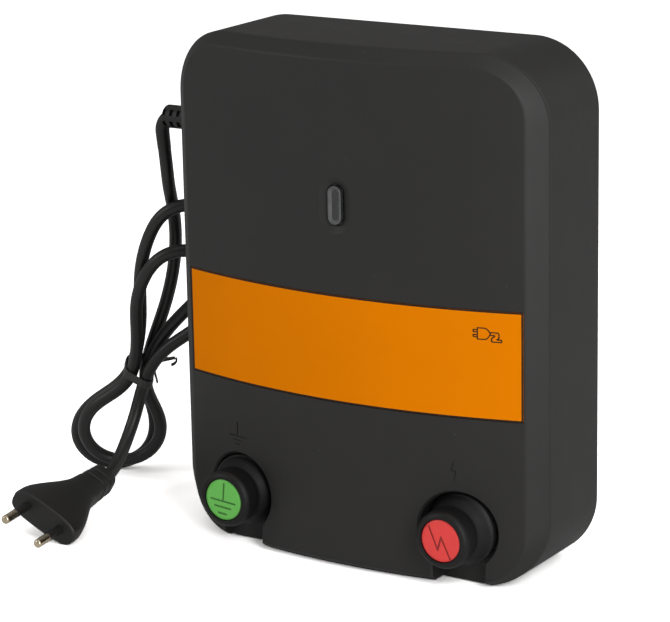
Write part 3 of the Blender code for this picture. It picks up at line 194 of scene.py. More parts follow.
# Lead: the route's own points, the hank that its turns make, and the tie
CORD_DOWN = ((-0.1212, 0.0205, 0.1480), (-0.1240, 0.0275, 0.1350), (-0.1270, 0.0325, 0.1200),
             (-0.1310, 0.0350, 0.1040), (-0.1360, 0.0352, 0.0880))
CORD_ALONG = ((-0.1465, 0.0223, 0.0350), (-0.1470, 0.0180, 0.0278), (-0.1463, 0.0120, 0.0216),
              (-0.1449, 0.0050, 0.0170))
CORD_LEAD_IN = 0.008
CORD_RUN_OUT = 0.006
HANK_TIE = Vector((-0.1470, 0.0274, 0.0560))
HANK_AXIS = Vector((0.392, -0.075, 0.916))
HANK_SIDE = Vector((0.841, 0.540, 0.0))
HANK_REACH = (0.0599, 0.0930, 0.0525, 0.0730)
HANK_LEAN = (-0.0040, 0.0098, 0.0, 0.0154)
HANK_FOLD = 0.0188
HANK_WAIST = 0.0031
HANK_PITCH = 0.0074
ROUTE_ROUNDS = 14
ROUTE_ENDS = 4
ROUTE_EASE = 0.5
TIE_RISE = 0.0032
TIE_TAIL = 0.0090
TIE_HOOK = 0.0040
TIE_HALF = 0.0021
TIE_END = 0.0011
TIE_THICK = 0.0004
TIE_FULLNESS = 0.5

# Strain relief and plug
GLAND_SPOT = Vector((-CASE_HALF, FACE_Y + 0.046, CASE_HEIGHT - 0.048))
GLAND_NECK = 0.0056
GLAND_FLANGE = 0.008
GLAND_FLANGE_THICK = 0.002
GLAND_BLOCK = (0.0053, 0.0262)
GLAND_SLEEVE = (0.0035, 0.0031)
GLAND_SOFT = 0.0008
GLAND_STRAIGHT = 0.0225
GLAND_BEND = 0.007
GLAND_TURN = radians(96.0)
GLAND_LENGTH = GLAND_STRAIGHT + GLAND_BEND * GLAND_TURN + 0.0075
SLOT_PLACES = (0.0092, 0.0131, 0.0170, 0.0209, 0.0248)
SLOT_TURNS = 6
SLOT_SIZE = (0.0020, 0.0030, 0.0012)
PLUG_FRONT = Vector((-0.1348, -0.0657, 0.0117))
PLUG_TURN = (1.5, 30.0, 7.5)
PLUG_LENGTH = 0.055
PLUG_HALF = (0.0172, 0.0067)
PLUG_TAIL_HALF = (0.0076, 0.0063)
PLUG_END = 0.0064
PLUG_STRAIGHT = 0.0045
PLUG_TAPER_END = 0.0370
PLUG_ROUND = 0.0013
PLUG_SOFT = 0.0006
PLUG_FULLNESS = 0.62
PLUG_RIBS = 2
PLUG_GROOVE = 0.0005
RIB_EDGE = 0.24
RIB_FLOOR = 0.11
PIN_X = 0.0184 / 2
PIN_RADIUS = 0.002
PIN_LENGTH = 0.019
PIN_NOSE = 0.0012
SLEEVE_LENGTH = 0.010
SLEEVE_TIP = 0.8
SLEEVE_SOFT = 0.0002

# Fineness of the meshes, and how much of a side a rounded corner may take
SMOOTH_ANGLE = 32.0
COVER_ANGLE = 13.0
SOFT_REACH = 0.45
CORNER_STEPS = 24
FACE_STEPS = 60
BEVEL_STEPS = 8
ROUND_STEPS = 8
CHANNEL_STEPS = 10
STADIUM_STEPS = 24
KEYHOLE_STEPS = 64
# Steps of the dark frame of painted shade along the band's edge
EDGE_SHADE_STEPS = 48
SIGN_STEPS = 3
MOULDED_STEPS = 4
RUN_POINTS = 8
FOLD_STEPS = 12
CURVE_STEPS = 16
TAIL_STEPS = 6
TIE_STEPS = 72
SLEEVE_STEPS = 28
NOSE_STEPS = 6
TAPER_STEPS = 16
KNOB_SIDES = 96
PLUG_SIDES = 72
BAR_SIDES = 64
GLAND_SIDES = 48
SCREW_SIDES = 48
PIN_SIDES = 40
TIE_SIDES = 16

# Looks shared by the finishes, and the metals among the record's classes
CLOUD_SCALE = 26.0
GLOSS_SCALE = 90.0
GLOSS_SPREAD = 0.02
COARSE_GRAIN = 0.35
COARSE_DEPTH = 0.6
GRAIN_DETAIL = 2.0
SPECK_SIZE = (0.012, 0.026)
SPECK_COLOUR = (0.075, 0.075, 0.073)
STREAK_GLOSS = (-0.08, 0.12)
METALS = ("brushed_steel", "brass", "aluminium")

# Sockets of the mixing node that hold colours
MIX_COLOURS = (6, 7)
MIX_RESULT = 2

# Pale room: the line along which it is dim, and how its light fades towards both ends of that line
SKY_COLOUR = (1.0, 0.975, 0.965, 1.0)
SKY_DARK = (0.34, -0.94, 0.0)
SKY_FADE = {"From_Min": 0.1, "From_Max": 1.0, "To_Min": 0.38, "To_Max": 0.24}
CAMERA_SKY = (1.0, 1.0, 1.0, 1.0)
CAMERA_FLOOR = (3.0, 3.0, 3.0, 1.0)
FLOOR_HALF = 4.0
SENSOR_WIDTH = 36.0

# Soft lamps: place, aim, size in metres and watts
LAMPS = {
    "key_lamp": ((1.02, -0.74, 0.52), (0.10, -0.10, 0.08), (0.45, 1.1), 11.0),
    "left_lamp": ((-1.0, -1.0, 0.75), (-0.02, -0.03, 0.12), (0.5, 0.5), 3.0),
    "top_lamp": ((0.2, -0.3, 1.7), (0.0, 0.0, 0.11), (1.2, 1.2), 3.4),
    "back_lamp": ((0.9, 1.1, 0.7), (0.08, 0.0, 0.13), (0.9, 0.9), 1.2),
}

# Steps in carving a solid
CUT = "DIFFERENCE"
JOIN = "UNION"


class FinishColours(bpy.types.PropertyGroup):
    """Colours of the finishes that a user would change."""

    case: FloatVectorProperty(
        name="Case", description="Moulded plastic of both shells", subtype="COLOR",
        size=3, min=0.0, max=1.0, default=(0.0150, 0.0145, 0.0139))
    knob: FloatVectorProperty(
        name="Knob", description="Moulded plastic of the terminal knobs", subtype="COLOR",
        size=3, min=0.0, max=1.0, default=(0.0062, 0.0060, 0.0060))
    lead: FloatVectorProperty(
        name="Lead", description="Sheath of the mains lead and its plug", subtype="COLOR",
        size=3, min=0.0, max=1.0, default=(0.0095, 0.0093, 0.0088))
    band: FloatVectorProperty(
        name="Band", description="Printed band across the front", subtype="COLOR",
        size=3, min=0.0, max=1.0, default=(0.775, 0.21, 0.0))
    earth: FloatVectorProperty(
        name="Earth disc", description="Disc in the earth terminal's knob", subtype="COLOR",
        size=3, min=0.0, max=1.0, default=(0.13, 0.505, 0.083))
    fence: FloatVectorProperty(
        name="Fence disc", description="Disc in the fence terminal's knob", subtype="COLOR",
        size=3, min=0.0, max=1.0, default=(0.78, 0.050, 0.045))


class StageSettings(bpy.types.PropertyGroup):
    """Where the camera stands and what it looks at."""

    azimuth: FloatProperty(
        name="Azimuth", description="Camera's turn round the object", subtype="ANGLE",
        default=radians(32.71))
    elevation: FloatProperty(
        name="Elevation", description="Camera's height above the horizon", subtype="ANGLE",
        default=radians(14.97))
    roll: FloatProperty(
        name="Roll", description="Camera's turn about its own line of sight", subtype="ANGLE",
        default=radians(-1.1))
    distance: FloatProperty(
        name="Distance", description="From the camera to the place it looks at", unit="LENGTH",
        default=1.27461)
    target: FloatVectorProperty(
        name="Target", description="Place that the camera looks at", subtype="XYZ_LENGTH", size=3,
        default=(-0.02197, 0.0046, 0.10571))
    lens: FloatProperty(name="Lens", description="Focal length in millimetres", default=155.95)


class CordSizes(bpy.types.PropertyGroup):
    """Sizes of the mains lead."""

    diameter: FloatProperty(
        name="Diameter", description="Outside diameter of the lead", unit="LENGTH", default=0.006)
    step: FloatProperty(
        name="Step", description="Distance between rings along the lead", unit="LENGTH", default=0.0018)
    sides: IntProperty(name="Sides", description="Faces round the lead", default=24)


class EnergizerSettings(bpy.types.PropertyGroup):
    """All the settings of the energizer's looks."""

    colours: PointerProperty(type=FinishColours)
    stage: PointerProperty(type=StageSettings)
    cord: PointerProperty(type=CordSizes)


def settings():
    return bpy.context.scene.energizer


# Materials
def add_node(tree, kind, **values):
    """A new shader node with some inputs set, whose names have underscores for spaces."""
    node = tree.nodes.new(f"ShaderNode{kind}")
    for socket, value in values.items():
        node.inputs[socket.replace("_", " ")].default_value = value
    return node


class Finish:
    """A principled material whose nodes are added one by one."""

    def __init__(self, name, colour, roughness, metallic=0.0, shine=0.5):
        self.material = bpy.data.materials.new(name)
        self.material.use_nodes = True
        self.tree = self.material.node_tree
        self.shader = self.tree.nodes["Principled BSDF"]
        self.shader.inputs["Base Color"].default_value = (*colour, 1.0)
        self.shader.inputs["Roughness"].default_value = roughness
        self.shader.inputs["Metallic"].default_value = metallic
        self.shader.inputs["Specular IOR Level"].default_value = shine
        self.colour = colour
        self.place = add_node(self.tree, "TexCoord").outputs["Object"]

    def link(self, start, end):
        self.tree.links.new(start, end)

    def add(self, kind, sources, **values):
        """A new node with some inputs linked and some set."""
        node = add_node(self.tree, kind, **values)
        for socket, source in sources.items():
            self.link(source, node.inputs[socket])
        return node

    def noise(self, scale, detail=3.0, place=None):
        """Noise of a scale per metre."""
        sources = {"Vector": place or self.place}
        return self.add("TexNoise", sources, Scale=scale, Detail=detail).outputs["Fac"]

    def between(self, share, low, high, start=0.3, end=0.7):
        """A number that follows a share from low to high."""
        limits = {"From_Min": start, "From_Max": end, "To_Min": low, "To_Max": high}
        return self.add("MapRange", {"Value": share}, **limits).outputs["Result"]

    def blend(self, share, first, second):
        """A colour between two, each a colour or a socket."""
        node = self.add("Mix", {"Factor": share})
        node.data_type = "RGBA"
        for index, value in zip(MIX_COLOURS, (first, second)):
            socket = node.inputs[index]
            if isinstance(value, bpy.types.NodeSocket):
                self.link(value, socket)
            else:
                socket.default_value = (*value, 1.0)
        return node.outputs[MIX_RESULT]

    def mottled(self, scale, amount, detail=4.0):
        """Gentle light and dark clouds in the colour."""
        dark = tuple(c * (1 - amount) for c in self.colour)
        light = tuple(min(1.0, c * (1 + amount)) for c in self.colour)
        share = self.between(self.noise(scale, detail), 0.0, 1.0)
        return self.blend(share, dark, light)

    def bump(self, height, distance, strength=1.0, after=None):
        sources = {"Height": height, "Normal": after} if after else {"Height": height}
        return self.add("Bump", sources, Distance=distance, Strength=strength).outputs["Normal"]

    def set(self, socket, value):
        self.link(value, self.shader.inputs[socket])


def tinted(name, colour, roughness, scale, amount, shine=0.5):
    """Smooth surface with faint clouds of a scale per metre in its colour."""
    finish = Finish(name, colour, roughness, shine=shine)
    finish.set("Base Color", finish.mottled(scale, amount))
    return finish


def moulded(name, colour, roughness, grain, depth, clouds=0.08, shine=0.5):
    """Moulded plastic with a fine spark texture and faint clouds of gloss."""
    finish = tinted(name, colour, roughness, CLOUD_SCALE, clouds, shine)
    gloss = finish.noise(GLOSS_SCALE)
    finish.set("Roughness", finish.between(gloss, roughness - GLOSS_SPREAD, roughness + GLOSS_SPREAD))
    coarse = finish.bump(finish.noise(grain * COARSE_GRAIN, GRAIN_DETAIL), depth * COARSE_DEPTH)
    finish.set("Normal", finish.bump(finish.noise(grain, GRAIN_DETAIL), depth, after=coarse))
    return finish


def metal(name, colour, roughness, streak=(60.0, 60.0, 900.0)):
    """Bare or plated metal with faint drawn streaks."""
    finish = Finish(name, colour, roughness, metallic=1.0)
    stretch = finish.add("Mapping", {"Vector": finish.place}, Scale=streak)
    lines = finish.noise(1.0, place=stretch.outputs["Vector"])
    finish.set("Roughness", finish.between(lines, *(roughness + change for change in STREAK_GLOSS)))
    finish.set("Base Color", finish.mottled(scale=140.0, amount=0.10))
    finish.set("Normal", finish.bump(lines, distance=0.00001, strength=0.4))
    return finish.material


def case_plastic():
    """Dark grey plastic with a fine spark texture and a few pale specks of dust."""
    colour = tuple(settings().colours.case)
    finish = moulded("case_plastic", colour, roughness=0.54, grain=5200.0, depth=0.00004, shine=0.42)
    specks = finish.add("TexVoronoi", {"Vector": finish.place}, Scale=75.0, Randomness=1.0)
    near = finish.between(specks.outputs["Distance"], 1.0, 0.0, *SPECK_SIZE)
    clouds = finish.shader.inputs["Base Color"].links[0].from_socket
    finish.set("Base Color", finish.blend(near, clouds, SPECK_COLOUR))
    return finish.material


def knob_plastic():
    """Satin black of the terminal knobs."""
    colour = tuple(settings().colours.knob)
    finish = moulded("knob_plastic", colour, roughness=0.50, grain=3600.0, depth=0.00003, shine=0.28)
    return finish.material


def cord_rubber():
    """Matte black of the moulded ends of the lead."""
    colour = tuple(settings().colours.lead)
    return moulded("cord_rubber", colour, roughness=0.5, grain=3000.0, depth=0.00003).material


def cord_sheath():
    """Smooth black sheath with faint clouds of gloss."""
    colour = tuple(settings().colours.lead)
    return moulded("cord_sheath", colour, roughness=0.42, grain=2600.0, depth=0.00002).material


def tie_strip():
    colour = (0.026, 0.026, 0.025)
    return moulded("tie_strip", colour, roughness=0.5, grain=2600.0, depth=0.00002).material


def band_print():
    """Matte printed sheet with a faint unevenness of ink."""
    colour = tuple(settings().colours.band)
    finish = tinted("band_print", colour, roughness=0.5, scale=14.0, amount=0.03, shine=0.02)
    finish.set("Roughness", finish.between(finish.noise(scale=60.0), low=0.45, high=0.55))
    finish.set("Normal", finish.bump(finish.noise(900.0, GRAIN_DETAIL), distance=0.00001))
    return finish.material


# Dark ink of the band's plug sign, and painted shade in the dark frame along the band's edge
def print_and_edge_shade():
    colour = (0.030, 0.013, 0.004)
    return tinted("print_and_edge_shade", colour, roughness=0.5, scale=400.0, amount=0.2, shine=0.2).material


def lens_face():
    return tinted("lens_face", (0.028, 0.030, 0.029), roughness=0.22, scale=220.0, amount=0.15).material


# Lighter rim of the lens: a painted highlight, a lit copy of the lens's dark plastic on its sloped and
# rounded rim
def lens_rim_painted_highlight():
    return tinted("lens_rim_painted_highlight", (0.080, 0.083, 0.083), roughness=0.30, scale=300.0, amount=0.2).material


def pin_metal():
    return metal("pin_metal", (0.62, 0.54, 0.40), roughness=0.24, streak=(900.0, 60.0, 900.0))


def zinc():
    return metal("zinc", (0.56, 0.56, 0.54), roughness=0.34)


def plain_metal(name, colour):
    return metal(name, colour, roughness=0.32)


def plain_plastic(name, colour):
    return moulded(name, colour, roughness=0.45, grain=3200.0, depth=0.00003).material


FINISHES = {}


def finish_of(maker, *values):
    """A material that is made once and then shared, under its maker's name or the first value."""
    name = values[0] if values else maker.__name__
    if name not in FINISHES:
        FINISHES[name] = maker(*values)
    return FINISHES[name]


# Objects and meshes
def placed(name, data):
    """A new object in the scene."""
    made = bpy.data.objects.new(name, data)
    bpy.context.scene.collection.objects.link(made)
    return made


def piece(name, mesh, materials, stands_for, body="housing"):
    """A named piece that rides on a body and stands for CAD nodes."""
    picks = [face.material_index for face in mesh.polygons]
    mesh.materials.clear()
    for material in materials:
        mesh.materials.append(material)
    mesh.polygons.foreach_set("material_index", picks)
    made = placed(name, mesh)
    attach(made, body)
    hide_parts(*stands_for)
    return made


def smoothed(mesh, angle=SMOOTH_ANGLE):
    """Smooth shading that keeps edges sharper than an angle."""
    mesh.shade_smooth()
    mesh.set_sharp_from_angle(angle=radians(angle))
    return mesh


def loft(name, rings, strips=False):
    """Skins rings of equal count and closes both ends, by upright strips or one face."""
    count = len(rings[0])
    faces = []
    for r in range(len(rings) - 1):
        base = r * count
        for i in range(count):
            j = (i + 1) % count
            faces.append((base + i, base + j, base + count + j, base + count + i))
    for base in (0, (len(rings) - 1) * count):
        if strips:
            for i in range(count // 2 - 1):
                faces.append((base + i, base + i + 1, base + count - 2 - i, base + count - 1 - i))
        else:
            faces.append(tuple(range(base, base + count)))
    mesh = bpy.data.meshes.new(name)
    mesh.from_pydata([tuple(p) for ring in rings for p in ring], [], faces)
    shape = bmesh.new()
    shape.from_mesh(mesh)
    bmesh.ops.recalc_face_normals(shape, faces=shape.faces)
    shape.to_mesh(mesh)
    shape.free()
    return smoothed(mesh)


def plain_mesh(maker):
    """Mesh of an object after its modifiers."""
    bpy.context.view_layer.update()
    graph = bpy.context.evaluated_depsgraph_get()
    return bpy.data.meshes.new_from_object(maker.evaluated_get(graph))


def carved(mesh, steps, angle=SMOOTH_ANGLE):
    """Mesh of a solid after joins and cuts with other solids, in order."""
    base = placed("carved", mesh)
    helpers = [base]
    for shape, operation in steps:
        step = base.modifiers.new(operation, "BOOLEAN")
        step.operation = operation
        step.solver = "EXACT"
        step.object = placed("tool", shape)
        helpers.append(step.object)
    made = plain_mesh(base)
    for helper in helpers:
        bpy.data.objects.remove(helper, do_unlink=True)
    return smoothed(made, angle)


def evaluated(maker, tree, values):
    """Plain mesh of an object after a node tree with given inputs, and the object is removed."""
    step = maker.modifiers.new("shape", "NODES")
    step.node_group = tree
    for item in tree.interface.items_tree:
        if item.in_out == "INPUT" and item.name in values:
            step[item.identifier] = values[item.name]
    mesh = plain_mesh(maker)
    bpy.data.objects.remove(maker, do_unlink=True)
    return mesh


def shape_tree(name, inputs, kinds, links):
    """Geometry node tree from named inputs, nodes and links, which ends in one real, painted mesh."""
    tree = bpy.data.node_groups.new(name, "GeometryNodeTree")
    for label, kind in (("Geometry", "Geometry"), *inputs, ("Finish", "Material")):
        tree.interface.new_socket(label, in_out="INPUT", socket_type=f"NodeSocket{kind}")
    tree.interface.new_socket("Geometry", in_out="OUTPUT", socket_type="NodeSocketGeometry")
    kinds = {"start": "NodeGroupInput", "end": "NodeGroupOutput", **kinds,
             "real": "GeometryNodeRealizeInstances", "paint": "GeometryNodeSetMaterial"}
    nodes = {label: tree.nodes.new(kind) for label, kind in kinds.items()}
    links += (("real", "Geometry", "paint", "Geometry"), ("start", "Finish", "paint", "Material"),
              ("paint", "Geometry", "end", "Geometry"))
    for before, output, after, socket in links:
        tree.links.new(nodes[before].outputs[output], nodes[after].inputs[socket])
    return tree, nodes


# Outlines and simple solids
def arc(steps, start=0.0, end=pi / 2):
    """Angles at even steps, with both ends."""
    return [start + (end - start) * i / steps for i in range(steps + 1)]


def circle(sides):
    """Angles at even steps once round."""
    return [2 * pi * i / sides for i in range(sides)]


def squarish(turn, fullness):
    """Place on a rounded square with sides two long."""
    return tuple(copysign(abs(v) ** fullness, v) for v in (cos(turn), sin(turn)))


def at(depth):
    """World Y of a depth behind the middle of the front face."""
    return FACE_Y + depth


def bow(x):
    """How far the face falls back at a place across it."""
    return FACE_BOW * (x / FACE_HALF) ** 2


def turned(name, profile, axis, sides):
    """Solid turned about a line along Y from (world Y, radius) points."""
    x, z = axis
    turns = circle(sides)
    return loft(name, [[(x + radius * cos(t), along, z + radius * sin(t)) for t in turns]
                       for along, radius in profile])


def round_bar(name, x, z, radius, front, back):
    return turned(name, ((at(front), radius), (at(back), radius)), (x, z), BAR_SIDES)


def stacked(name, stages, bows=False):
    """Solid through upright outlines of (x, z) points, each at its depth, which may follow the bow."""
    rings = [[(x, at(depth + bows * bow(x)), z) for x, z in outline] for depth, outline in stages]
    return loft(name, rings)


def extruded(name, outline, front, back):
    """Solid of one upright outline between two depths."""
    return stacked(name, ((front, outline), (back, outline)))


def softened(points, radius, steps=5):
    """Open line with its inner corners rounded, by one radius or one for each corner."""
    spots = [Vector(p) for p in points]
    radii = radius if isinstance(radius, tuple) else (radius,) * (len(spots) - 2)
    out = [spots[0]]
    for before, here, after, soft in zip(spots, spots[1:], spots[2:], radii):
        back = before - here
        ahead = after - here
        reach = min(soft, SOFT_REACH * back.length, SOFT_REACH * ahead.length)
        start = here + back.normalized() * reach
        end = here + ahead.normalized() * reach
        for i in range(steps + 1):
            t = i / steps
            out.append(start * (1 - t) ** 2 + here * (2 * t * (1 - t)) + end * t ** 2)
    return out + [spots[-1]]


def stadium(width, height):
    """Upright slot outline with half-round ends, about the middle of the lens."""
    radius = width / 2
    straight = height / 2 - radius
    points = []
    for end, start in ((1, 0.0), (-1, pi)):
        for t in arc(STADIUM_STEPS, start, start + pi):
            points.append((radius * cos(t), LENS_Z + end * straight + radius * sin(t)))
    return points


def keyhole(x, z, radius, half, reach):
    """Circle with a straight slot that runs down, or up for a negative reach, by its reach."""
    way = 1 if reach > 0 else -1
    side = asin(half / radius)
    turns = arc(KEYHOLE_STEPS, side - pi / 2, 3 * pi / 2 - side)
    hole = [(x + radius * cos(t), z + way * radius * sin(t)) for t in turns]
    return [(x + half, z - reach), *hole, (x - half, z - reach)]


def stroke(start, end, width):
    """Outline of a straight stroke with a given width."""
    a = Vector(start)
    b = Vector(end)
    run = (b - a).normalized() * width / 2
    side = Vector((-run.y, run.x))
    return [tuple(p) for p in (a - run - side, b + run - side, b + run + side, a - run + side)]


# Case shapes
def bowed(depth):
    """Depth rule of a surface that follows the face."""
    return lambda x: at(depth + bow(x))


def level(depth):
    """Depth rule of a flat upright surface."""
    return lambda x: at(depth)


def outline_ring(half, low, high, corner, depth):
    """Rounded upright outline whose depth follows a rule across the case."""
    left = [(corner - half + corner * cos(t), corner - corner * sin(t))
            for t in arc(CORNER_STEPS, pi, pi / 2)]
    step = 2 * (half - corner) / FACE_STEPS
    middle = [(corner - half + step * i, 0.0) for i in range(1, FACE_STEPS)]
    right = [(-x, drop) for x, drop in reversed(left)]
    edge = left + middle + right
    top = [(x, depth(x), high - drop) for x, drop in edge]
    bottom = [(x, depth(x), low + drop) for x, drop in edge]
    return top + bottom[::-1]


def case_ring(inset, depth):
    """Outline of the case walls, drawn in by an inset."""
    return outline_ring(CASE_HALF - inset, inset, CASE_HEIGHT - inset, CASE_CORNER - inset, depth)


def bevel_ring(out, depth):
    """Outline between the front face, at zero, and the case walls, at the bevel's full width."""
    share = out / BEVEL_SIDE
    low = BEVEL_BOTTOM * (1 - share)
    high = CASE_HEIGHT - BEVEL_TOP * (1 - share)
    corner = FACE_CORNER + (CASE_CORNER - FACE_CORNER) * share
    return outline_ring(FACE_HALF + out, low, high, corner, depth)


def pocket_outline(x, grow):
    """Terminal pocket with the channel that runs out of the bottom edge."""
    return keyhole(x, KNOB_Z, POCKET_RADIUS + grow, CHANNEL_HALF + grow, KNOB_Z - FIT + WALL)


def channel_end(x):
    """Outline that rounds the corners where a terminal's channel leaves the bottom edge."""
    middle = CHANNEL_HALF + CHANNEL_ROUND
    side = [(middle - CHANNEL_ROUND * cos(t), CHANNEL_ROUND * (1 - sin(t)))
            for t in arc(CHANNEL_STEPS, CHANNEL_START)]
    side = [(CHANNEL_HALF - FIT, side[0][1]), *side, (middle, -WALL)]
    return [(x + u, w) for u, w in reversed(side)] + [(x - u, w) for u, w in side]


def pocket_wall(x):
    """Wall round a terminal pocket, as far as the cover reaches."""
    limit = [bevel_ring(-FIT, bowed(2 * FIT)), case_ring(2 * FIT, bowed(BEVEL_DEPTH + FIT)),
             case_ring(2 * FIT, level(POCKET_BACK + bow(CASE_HALF)))]
    bucket = extruded("bucket", pocket_outline(x, WALL), 0.0, POCKET_BACK)
    return carved(bucket, [(loft("limit", limit, strips=True), "INTERSECT")])


def pocket_cutters(x):
    """Cutters for a terminal's pocket, its soft edge, its channel's end and its stud's hole."""
    depths = [share * POCKET_EDGE for share in POCKET_EDGE_REACH]
    edge = [(depth, pocket_outline(x, POCKET_EDGE - depth)) for depth in depths]
    return (extruded("pocket", pocket_outline(x, 0.0), -WALL, POCKET_FLOOR),
            stacked("edge", edge, bows=True),
            extruded("channel_end", channel_end(x), -WALL, POCKET_FLOOR - FIT),
            round_bar("stud_hole", x, KNOB_Z, STUD_ROOM, 0.0, POCKET_BACK + WALL))


def cavity():
    """Cutter for the room inside the cover, which leaves the walls of the pockets."""
    rings = [bevel_ring(-WALL, bowed(WALL)), case_ring(CAVITY_INSET, bowed(BEVEL_DEPTH)),
             case_ring(CAVITY_INSET, bowed(LIP_END)),
             case_ring(CAVITY_INSET, level(POCKET_BACK + WALL + bow(CASE_HALF)))]
    kept = [extruded("room", pocket_outline(x, WALL - FIT / 2), -WALL, POCKET_BACK - FIT / 2)
            for x in KNOB_SPOTS]
    return carved(loft("cavity", rings, strips=True), [(room, CUT) for room in kept])


def face_cutters():
    """Cutters for the band's recess, and for the dish and the slot of the lens."""
    recess = [outline_ring(LABEL_HALF, LABEL_LOW, LABEL_HIGH, LABEL_CORNER, bowed(depth))
              for depth in (-WALL, LABEL_RECESS)]
    mouth = [2 * top - floor for top, floor in zip(DISH_TOP, DISH_FLOOR)]
    stages = softened([(-DISH_DEPTH, *mouth), (DISH_DEPTH * DISH_SLOPE_END, *DISH_FLOOR),
                       (DISH_DEPTH, *(size * DISH_FLAT for size in DISH_FLOOR))], DISH_SOFT)
    slot = stadium(*(size + 2 * LENS_GAP for size in LENS_SIZE))
    return (loft("recess", recess, strips=True),
            stacked("dish", [(depth, stadium(wide, tall)) for depth, wide, tall in stages]),
            extruded("lens_slot", slot, -WALL, 2 * WALL))


def sign_cutters(x, sign):
    """Cutters for a sign above a terminal, which follow the bow."""
    cutters = []
    for start, end in sign:
        outline = stroke((x + start[0], KNOB_Z + start[1]), (x + end[0], KNOB_Z + end[1]), MOULDED_WIDTH)
        cutters.append(stacked("sign", ((-WALL, outline), (MOULDED_DEPTH, outline)), bows=True))
    return cutters


def cover_mesh():
    """Bowed and bevelled cover with its lip, terminal pockets, band recess, lens dish and signs."""
    bevel = ((-BEVEL_SIDE, 0.0), (0.0, 0.0), (BEVEL_SIDE, BEVEL_END), (BEVEL_SIDE, BEVEL_DEPTH))
    seam = BEVEL_DEPTH + FIT / 4
    rings = [bevel_ring(out, bowed(depth)) for out, depth in softened(bevel, BEVEL_SOFT, BEVEL_STEPS)]
    rings.append(case_ring(SEAM_ROUND, bowed(seam)))
    rings += [case_ring(LIP_INSET, bowed(depth)) for depth in (seam, LIP_END)]
    cutters = [cavity()]
    for x in KNOB_SPOTS:
        cutters += pocket_cutters(x)
    cutters += face_cutters()
    for x, sign in zip(KNOB_SPOTS, (EARTH_MOULDED, FENCE_MOULDED)):
        cutters += sign_cutters(x, sign)
    steps = [(pocket_wall(x), JOIN) for x in KNOB_SPOTS] + [(cutter, CUT) for cutter in cutters]
    return carved(loft("cover", rings, strips=True), steps, COVER_ANGLE)


def rear_mesh():
    """Deep rear shell with rounded back, screw wells, keyhole hangers and the hole for the lead."""
    seam = BEVEL_DEPTH + FIT
    rings = [case_ring(SEAM_ROUND, bowed(seam)), case_ring(0.0, bowed(seam + SEAM_ROUND))]
    for t in arc(ROUND_STEPS):
        depth = CASE_DEPTH - BACK_ROUND * (1 - sin(t))
        rings.append(case_ring(BACK_ROUND * (1 - cos(t)), level(depth)))
    inside = CASE_DEPTH - WALL
    into_back = inside + WALL / 2
    behind = CASE_DEPTH + WALL
    hollow = [case_ring(WALL, bowed(0.0)), case_ring(WALL, level(inside - BACK_ROUND / 2)),
              case_ring(WALL + BACK_ROUND / 2, level(inside))]
    steps = [(loft("hollow", hollow, strips=True), CUT)]
    for x in (-CASE_SCREW_X, CASE_SCREW_X):
        for z in CASE_SCREW_Z:
            tower = round_bar("tower", x, z, TOWER_RADIUS, CASE_SCREW_SEAT - WALL, into_back)
            well = round_bar("well", x, z, WELL_RADIUS, CASE_SCREW_SEAT + FIT, behind)
            steps += [(tower, JOIN), (well, CUT)]
    room_front = inside - HANGER_ROOM
    for x in (-HANGER_X, HANGER_X):
        block = keyhole(x, HANGER_Z, HANGER_HEAD + WALL, HANGER_NECK + WALL, -HANGER_RISE - WALL)
        room = keyhole(x, HANGER_Z, HANGER_HEAD + FIT, HANGER_HEAD, -HANGER_RISE - HANGER_NECK)
        slot = keyhole(x, HANGER_Z, HANGER_HEAD, HANGER_NECK, -HANGER_RISE)
        steps += [(extruded("hanger_block", block, room_front - WALL, into_back), JOIN),
                  (extruded("hanger_room", room, room_front, inside), CUT),
                  (extruded("hanger_slot", slot, inside - FIT, behind), CUT)]
    for x in KNOB_SPOTS:
        steps.append((extruded("notch", pocket_outline(x, WALL + FIT), 0.0, POCKET_BACK + FIT), CUT))
    neck = GLAND_NECK + FIT
    hole = [[GLAND_SPOT + Vector((along, neck * cos(t), neck * sin(t)))
             for t in circle(GLAND_SIDES)] for along in (-WALL, 2 * WALL)]
    steps.append((loft("gland_hole", hole), CUT))
    return carved(loft("rear", rings, strips=True), steps)


# Lead
def smoothstep(share):
    """Rises from 0 to 1 with level ends."""
    return share * share * (3 - 2 * share)


def sway(share):
    """Rises from 0 to 1 along two even arcs."""
    if share < 0.5:
        return 2 * share * share
    return 1 - 2 * (1 - share) ** 2


def through(points, step):
    """Points at an even step along a smooth curve through the route's own points."""
    route = [Vector(p) for p in points]
    padded = [2 * route[0] - route[1], *route, 2 * route[-1] - route[-2]]
    fine = []
    for before, start, end, after in zip(padded, padded[1:], padded[2:], padded[3:]):
        bend = 2 * before - 5 * start + 4 * end - after
        twist = 3 * start - before - 3 * end + after
        for i in range(CURVE_STEPS):
            t = i / CURVE_STEPS
            fine.append(0.5 * (2 * start + (end - before) * t + bend * t ** 2 + twist * t ** 3))
    fine.append(route[-1])
    run = [0.0]
    for a, b in zip(fine, fine[1:]):
        run.append(run[-1] + (b - a).length)
    count = max(3, round(run[-1] / step))
    spaced = []
    now = 0
    for i in range(count + 1):
        goal = run[-1] * i / count
        while now < len(run) - 2 and run[now + 1] < goal:
            now += 1
        share = (goal - run[now]) / (run[now + 1] - run[now])
        spaced.append(fine[now].lerp(fine[now + 1], share))
    return spaced


def relaxed(points):
    """Evens out small kinks, less and less towards both ends, which stay where they are."""
    last = len(points) - 1
    ease = [ROUTE_EASE * min(1.0, i / ROUTE_ENDS, (last - i) / ROUTE_ENDS) for i in range(last + 1)]
    for _ in range(ROUTE_ROUNDS):
        inner = zip(points, points[1:], points[2:], ease[1:])
        points = [points[0], *(b.lerp((a + c) / 2, share) for a, b, c, share in inner), points[-1]]
    return points


